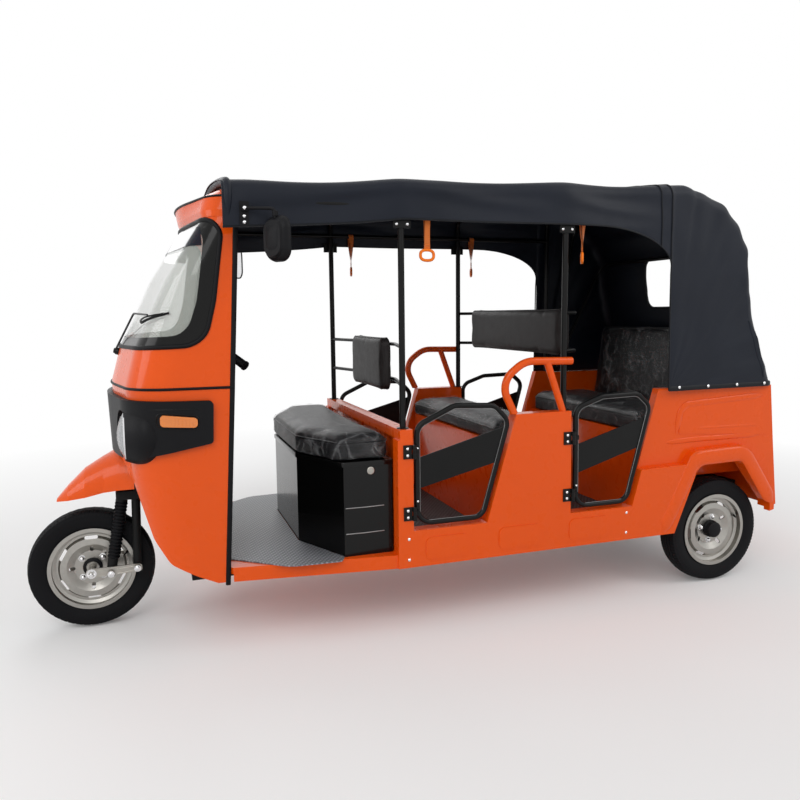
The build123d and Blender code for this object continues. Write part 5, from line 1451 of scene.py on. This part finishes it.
def makeCanopy():
    stock, lastRow = hoodSurface()
    mesh = bpy.data.meshes.new("canopySheet")
    mesh.from_pydata([tuple(p) for p in stock.points], [], stock.faces)
    tidyMesh(mesh, 0.0008)
    made = bpy.data.objects.new("canopySheet", mesh)
    scene.collection.objects.link(made)
    smooth = made.modifiers.new("rounded", "SUBSURF")
    smooth.levels = smooth.render_levels = 1
    thick = made.modifiers.new("thickness", "SOLIDIFY")
    thick.thickness, thick.offset = hood["thickness"], -1
    applyAll(made)
    half, low, high, corner = hood["window"]
    loop = roundedPath([(half, low, 0), (half, high, 0), (-half, high, 0), (-half, low, 0)], corner, closed=True,
                       step=0.006)
    cutter = Stock().grid([[(-1.75, p.x, p.y) for p in loop], [(-1.30, p.x, p.y) for p in loop]], False, True)
    count = len(loop)
    cutter.faces += [tuple(range(count)), tuple(reversed(range(count, 2 * count)))]
    tool = looseObject("windowCutter", cutter.points, cutter.faces)
    cut = made.modifiers.new("window", "BOOLEAN")
    cut.operation, cut.object, cut.solver = "DIFFERENCE", tool, "EXACT"
    applyAll(made)
    bpy.data.objects.remove(tool)
    dress(made, "canopy", "body", ("canopy",))
    smoothFaces(made.data, 50)
    bound = nearestOnMesh(made, [(-1.47, p.x, p.y) for p in evenPath(loop, 0.012, closed=True)], 0.0)
    trims = [pipingRun("windowBinding", bound, 0.0075, "binding", "body", "canopy_vinyl")]
    px, pz = hood["pivot"]
    # piping seams each side of the double strip over the last bow
    for number, x in enumerate(hood["archPiping"]):
        path = []
        for p in bothSides(hoodRow(x)):
            out = math.copysign(0.0012, p.y) if abs(p.y) > 0.5 else 0.0
            path.append(p + Vector((0, out, 0.0012 if abs(p.y) < 0.57 else 0)))
        trims.append(pipingRun(f"archPiping{number}", path, hood["pipingRadius"], "binding", "body", "canopy_vinyl",
                               closed=False))
    hem = Stock()
    for side in (1, -1):
        top = hoodRow(px)[0]
        lower = [Vector((px + 0.002, (hood["bottomHalf"] + (top.y - hood["bottomHalf"]) * k / 14) * side,
                         pz + 0.001 + (top.z - pz) * k / 14)) for k in range(14)]
        archX = px + hood["archLength"]
        arch = [hoodRow(x)[0] for x in archX - hood["archLength"] * np.cos(np.linspace(0, math.pi / 2, 24))]
        front = [hoodRow(x)[0] for x in np.linspace(archX, hood["bows"][0], 40)[1:]]
        path = lower + [Vector((p.x, p.y * side, p.z)) for p in arch + front]
        hem.tube(path, hood["hemRadius"], 8, squash=0.55)
    back = [Vector((p.x, p.y, p.z + 0.008)) for p in bothSides(lastRow)]
    hem.tube(back, 0.011, 8, squash=0.32, up=(0, 0, 1))
    trims.append(hem.piece("canopyHem", "binding", "body", "canopy_vinyl"))
    snaps = Stock()
    xs, y, z = hood["sideSnaps"]
    for side in (1, -1):
        rivetRow(snaps, [(x, side * y, z) for x in xs], (0, side, 0), 0.0068, 0.0048)
    x, ys, z = hood["backSnaps"]
    rivetRow(snaps, [(x, y, z) for y in ys], (-1, 0, -0.38), 0.0068, 0.0050)
    snaps.piece("canopySnaps", "chrome", "body", "bright_steel")
    declareSheet(made, thick=hood["thickness"])
    print("canopy made")


frontRoll = {"x": 0.884, "foot": 1.640, "radius": 0.0165, "taper": 0.09}


def makeCanopyRoll():
    # the padded roll that ends the hood behind the cab's visor
    path = evenPath([p for p in bothSides(hoodRow(frontRoll["x"])) if p.z > frontRoll["foot"]], 0.012)
    count = len(path) - 1
    radii = []
    for k, p in enumerate(path):
        end = min(1.0, min(k, count - k) * 0.012 / frontRoll["taper"])
        radii.append((frontRoll["radius"] + 0.002 * ripple(p, 9.0, 3.0)) * (0.25 + 0.75 * math.sin(end * math.pi / 2)))
    roll = Stock().tube([p + Vector((0, -0.004 * (1 if p.y > 0 else -1), -0.006)) for p in path], radii, 16,
                        up=(1, 0, 0))
    made = roll.piece("canopyRoll", "canopy", "body", "canopy_vinyl")


# straps
straps = {  # places: along the rail, side, how far the strap turns as it hangs
    "places": ((0.127, 1, 8), (-0.572, 1, 60), (0.127, -1, 76), (-0.572, -1, 70)),
    "railZ": 1.700, "railRadius": 0.0104, "y": 0.555, "width": 0.025, "drop": 0.155, "hem": 0.02,
    "ring": (0.0295, 0.0200, 0.0058), "ringPower": 0.78,
    "section": ((-1, 0.0), (0, 0.0004), (1, 0.0), (1, -0.0014), (0, -0.0014), (-1, -0.0014)),
}


def makeStraps():
    band, rings, stitches = Stock(), Stock(), Stock()
    (ringHalf, ringTall, ringRadius), power = straps["ring"], straps["ringPower"]
    low = straps["railZ"] - straps["railRadius"] - straps["drop"]
    for x, hand, degrees in straps["places"]:
        middle = straps["y"] * hand

        def hung(across, off, z, share, turn=math.radians(degrees), x=x, middle=middle):
            # a place on the strap, turned about its hanging line more and more towards the ring
            angle = turn * min(1.0, share * 1.3)
            return Vector((x + across * math.cos(angle) - off * math.sin(angle),
                           middle + across * math.sin(angle) + off * math.cos(angle), z))

        for sheet in (1, -1):
            rows = []
            for k in range(25):
                share = k / 24
                z = straps["railZ"] - (straps["railZ"] - low) * share
                off = sheet * (straps["railRadius"] * (1 - share) ** 1.5 + 0.0016)
                wide = straps["width"] / 2 * (1 - 0.16 * math.sin(math.pi * share) ** 2)
                rows.append([hung(side * wide, off + sheet * lift, z, share)
                             for side, lift in straps["section"]])
            band.grid(rows, False, True, caps=True)
        over = []
        for k in range(13):
            angle = math.pi * k / 12
            y = middle + (straps["railRadius"] + 0.0016) * math.cos(angle)
            z = straps["railZ"] + (straps["railRadius"] + 0.0012) * math.sin(angle)
            inner = Vector((0, -math.cos(angle), -math.sin(angle))) * 0.0014
            over.append([Vector((x + side * straps["width"] / 2, y, z)) + inner * deep
                         for side, deep in ((-1, 0), (0, 0), (1, 0), (1, 1), (0, 1), (-1, 1))])
        band.grid(over, False, True, caps=True)
        ringZ = low - 0.016
        loop = []
        for k in range(40):
            a = 2 * math.pi * k / 40
            loop.append(hung(ringHalf * math.copysign(abs(math.cos(a)) ** power, math.cos(a)), 0.0,
                             ringZ + ringTall * math.copysign(abs(math.sin(a)) ** power, math.sin(a)), 1.0))
        rings.tube(loop, ringRadius, 12, closed=True, up=hung(0.0, 1.0, 0.0, 1.0) - hung(0.0, 0.0, 0.0, 1.0))
        turned = Matrix.Rotation(math.radians(degrees), 3, "Z")
        for rise in (0.0135, 0.0235):
            stitches.box((x - 0.0095, middle - 0.0042, low + rise),
                         (x + 0.0095, middle + 0.0042, low + rise + 0.0013), turned)
    for stock, name, finish in ((band, "strapWebbing", "webbing"), (rings, "strapRings", "ringPlastic"),
                                (stitches, "strapStitching", "ringPlastic")):
        made = stock.piece(name, finish, "body", "orange_webbing")
        if name == "strapWebbing":
            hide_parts("hand_straps")


# mats
mats = {
    "driver": [(0.985, 0.400), (0.900, 0.412), (0.700, 0.575), (0.500, 0.588), (0.478, 0.5395), (0.607, 0.2615)],
    "driverRounds": [0.030, 0.100, 0.110, 0.020, 0.004, 0.006], "first": (-0.205, 0.222), "second": (-0.940, -0.502),
    "half": 0.520, "round": 0.010, "thickness": 0.0045,
}


def makeMats():
    half = mats["half"]
    plans = [("driver", mats["driver"], mats["driverRounds"], "mat")]
    for name in ("first", "second"):
        back, front = mats[name]
        plans.append((name, [(front, half), (back, half)], [mats["round"]] * 2, "darkMat"))
    for name, side, rounds, finish in plans:
        corners = [(x, y, 0) for x, y in side] + [(x, -y, 0) for x, y in reversed(side)]
        loop = roundedPath(corners, rounds + rounds[::-1], closed=True, step=0.01)
        heights = ((0.0002, 0.0), (mats["thickness"] - 0.0012, 0.0), (mats["thickness"], 0.0012))
        rows = [[shrink(loop, draw, floorZ + rise, k) for k in range(len(loop))] for rise, draw in heights]
        stock = Stock().grid(rows, False, True)
        stock.add(rows[-1], [tuple(range(len(loop)))])
        mat = stock.piece(f"{name}FloorMat", finish, "body", "tyre_rubber", merge=0.0001)
        declareSheet(mat)
    print("mats laid")


# seat box, doors and small fastenings
boxDetail = {
    "plan": [(0.6055, 0.2605), (0.4765, 0.5385), (0.2755, 0.5385), (0.2755, -0.5385), (0.4765, -0.5385),
             (0.6055, -0.2605)],
    "side": 0.5383, "lock": (0.365, 0.680), "grooves": (0.536, 0.432), "grooveSpan": (0.312, 0.470),
    "lip": ((0.700, -0.001), (0.701, 0.0045), (0.7165, 0.0055), (0.7195, 0.0035), (0.7198, -0.002)),  # height, width
}


def makeBoxDetails():
    lip = Stock()
    loop = roundedPath([(x, y, 0) for x, y in boxDetail["plan"]], 0.006, closed=True, step=0.004)
    rows = [[shrink(loop, -draw, z, k) for k in range(len(loop))] for z, draw in boxDetail["lip"]]
    lip.grid(rows, False, True)
    lip.piece("seatBoxLip", "gloss", "body", "gloss_black_panel")
    marks = Stock()
    x, z = boxDetail["lock"]
    for side in (1, -1):
        marks.lathe([(0.0, 0.0150), (0.0022, 0.0150), (0.0036, 0.0125), (0.0030, 0.0085), (0.0042, 0.0075),
                     (0.0046, 0.0005)],
                    (x, side * boxDetail["side"], z), (0, side, 0), 28)
    marks.piece("seatBoxLocks", "zinc", "body", "bright_steel", sharp=30)
    # pale strips along the side grooves: painted highlights standing in for the grooves' lit edges
    ribs = Stock()
    start, end = boxDetail["grooveSpan"]
    for side in (1, -1):
        face, bowed = side * boxDetail["side"], side * (boxDetail["side"] + 0.0006)
        for height in boxDetail["grooves"]:
            ribs.tube([(start, face, height), ((start + end) / 2, bowed, height - 0.001), (end, face, height)],
                      0.0022, 8)
    ribs.piece("seatBoxGrooveHighlights", "edging", "body", "bright_steel")


doorTable = {  # pin, corners of the frame, heights of the hinges
    "front": (0.206, [(0.199, 0.448), (0.199, 0.860), (0.029, 0.938), (-0.156, 0.929), (-0.226, 0.855),
                      (-0.107, 0.448)], (0.755, 0.506)),
    "rear": (-0.514, [(-0.528, 0.448), (-0.524, 0.894), (-0.665, 0.942), (-0.849, 0.947), (-0.925, 0.882),
                      (-0.808, 0.448)], (0.762, 0.516)),
}
doorBends = [0.055, 0.065, 0.055, 0.065, 0.060, 0.050]


def makeDoorDetails():
    bolts = Stock()
    for name, (pin, corners, heights) in doorTable.items():
        flat = [Vector((x, z, 0)) for x, z in corners]
        middle = sum(flat, Vector((0, 0, 0))) / len(flat)
        for height in heights:
            for dz in (-0.0135, 0.0135):
                for side in (1, -1):
                    rivetRow(bolts, [(pin + 0.027, side * 0.6040, height + dz)], (0, side, 0), 0.0068, 0.0060)
        path = roundedPath([(p.x, p.y, 0) for p in flat], doorBends, closed=True, step=0.006)
        count = len(path)
        inner = []
        for k in range(count):
            before, here, after = path[k - 1], path[k], path[(k + 1) % count]
            along = (after - before).normalized()
            inward = Vector((-along.y, along.x, 0))
            if inward.dot(middle - here) < 0:
                inward = -inward
            inner.append(here + inward * 0.0222)
        for side, word in ((1, "left"), (-1, "right")):
            edging = Stock().tube([Vector((p.x, side * 0.5900, p.y)) for p in inner], 0.0012, 6, closed=True)
            edging.piece(f"{name}DoorEdging{word.capitalize()}", "edging", f"{name}_{word}_door", "bright_steel")
            studs = Stock()
            for z in (0.765, 0.552):
                rivetRow(studs, [(corners[0][0] - 0.011, side * 0.5955, z)], (0, side, 0), 0.0046, 0.0034)
            studs.piece(f"{name}DoorStuds{word.capitalize()}", "chrome", f"{name}_{word}_door", "bright_steel")
    bolts.piece("hingeBolts", "chrome", "body", "bright_steel")


pressings = {  # soft ridges pressed into the rear quarters: path, bends, half width, rise
    "arch": ([(-0.990, 0.292), (-1.166, 0.622), (-1.448, 0.630), (-1.627, 0.372)], 0.085, 0.034, 0.0085, 0.5985),
    "panel": ([(-1.077, 0.735), (-1.103, 0.868), (-1.575, 0.893)], 0.060, 0.016, 0.0060, 0.5650),
    "line": ([(-1.160, 0.757), (-1.575, 0.752)], 0.0, 0.008, 0.0042, 0.5650),
    "shelf": ([(-1.020, 0.700), (-1.180, 0.706), (-1.560, 0.706)], 0.0, 0.012, 0.0040, 0.5650),
}


def makePressings():
    ridges = Stock()
    for path, bend, half, rise, y in pressings.values():
        line = evenPath(roundedPath([(x, y, z) for x, z in path], bend, step=0.01), 0.012)
        count = len(line) - 1
        taper = [rise * (0.15 + 0.85 * math.sin(min(1.0, min(k, count - k) / 5) * math.pi / 2))
                 for k in range(count + 1)]
        ridges.tube(line, taper, 16, squash=half / rise, up=(0, 1, 0))
    ridges.mirrored()
    ridges.piece("quarterPressings", "orange", "body", "orange_paint", sharp=70)


fastenings = {
    "posts": ((0.235, 0.8432), (-0.492, 0.8782)), "postY": 0.555,  # where each post stands
    "gusset": (0.036, 0.5665, 0.5700, 1.618, 1.664), "gussetBolts": (0.022, 1.634),
    "panelBolts": ((0.228, 0.402), (0.228, 0.318), (-0.795, 0.408), (-0.795, 0.318)), "panelY": 0.6000,
    "plate": (0.150, 0.600, 0.055, 0.012),  # half width, height of its middle, half height, corner
    "plateRows": ((0.0006, 1.0), (0.0030, 1.0), (0.0036, 0.975), (0.0028, 0.955)),
    "postFoot": [(0.0, 0.024), (0.0025, 0.024), (0.0035, 0.019), (0.0035, 0.0126)],
}


def makeFastenings():
    bolts = Stock()
    gussets = Stock()
    half, inner, outer, foot, top = fastenings["gusset"]
    apart, height = fastenings["gussetBolts"]
    for x, base in fastenings["posts"]:
        for side in (1, -1):
            gussets.box((x - half, side * inner, foot), (x + half, side * outer, top))
            rivetRow(bolts, [(x + dx, side * outer, height) for dx in (-apart, apart)], (0, side, 0), 0.0062, 0.0046)
    gussets.piece("postGussets", "frameBlack", "body", "black_frame", bevel=0.0012)
    for x, z in fastenings["panelBolts"]:
        for side in (1, -1):
            rivetRow(bolts, [(x, side * fastenings["panelY"], z)], (0, side, 0), 0.0060, 0.0038)
    bolts.piece("panelBolts", "chrome", "body", "bright_steel")
    feet = Stock()  # washers where the posts stand
    for x, z in fastenings["posts"]:
        feet.lathe(fastenings["postFoot"], (x, fastenings["postY"], z), (0, 0, 1), 28)
    feet.mirrored()
    feet.piece("postFeet", "frameBlack", "body", "black_frame")
    plate = Stock()  # blank number plate on the tail
    half, middle, tall, corner = fastenings["plate"]
    loop = roundPlate(half, tall, corner, 0.004)
    rows = []
    for lift, size in fastenings["plateRows"]:
        rows.append([Vector((tailX(middle + p.y * size) - lift, p.x * size, middle + p.y * size)) for p in loop])
    plate.grid(rows, False, True)
    plate.add(rows[-1], [tuple(range(len(loop)))])
    plate.piece("blankPlate", "platePaint", "body", "bright_steel", merge=0.0001)
    print("small parts fitted")


makeCabTrims()
makePressings()
makeWindshieldTrim()
makeWheelDetails()
makeForkDetails()
makeBarDetails()
makeLampDetails()
makeMirrorDetails()
makeWiper()
makeCushions()
makeBackrest()
makeRackPads()
makeCanopy()
makeCanopyRoll()
makeStraps()
makeMats()
makeBoxDetails()
makeDoorDetails()
makeFastenings()
print("pieces in place")
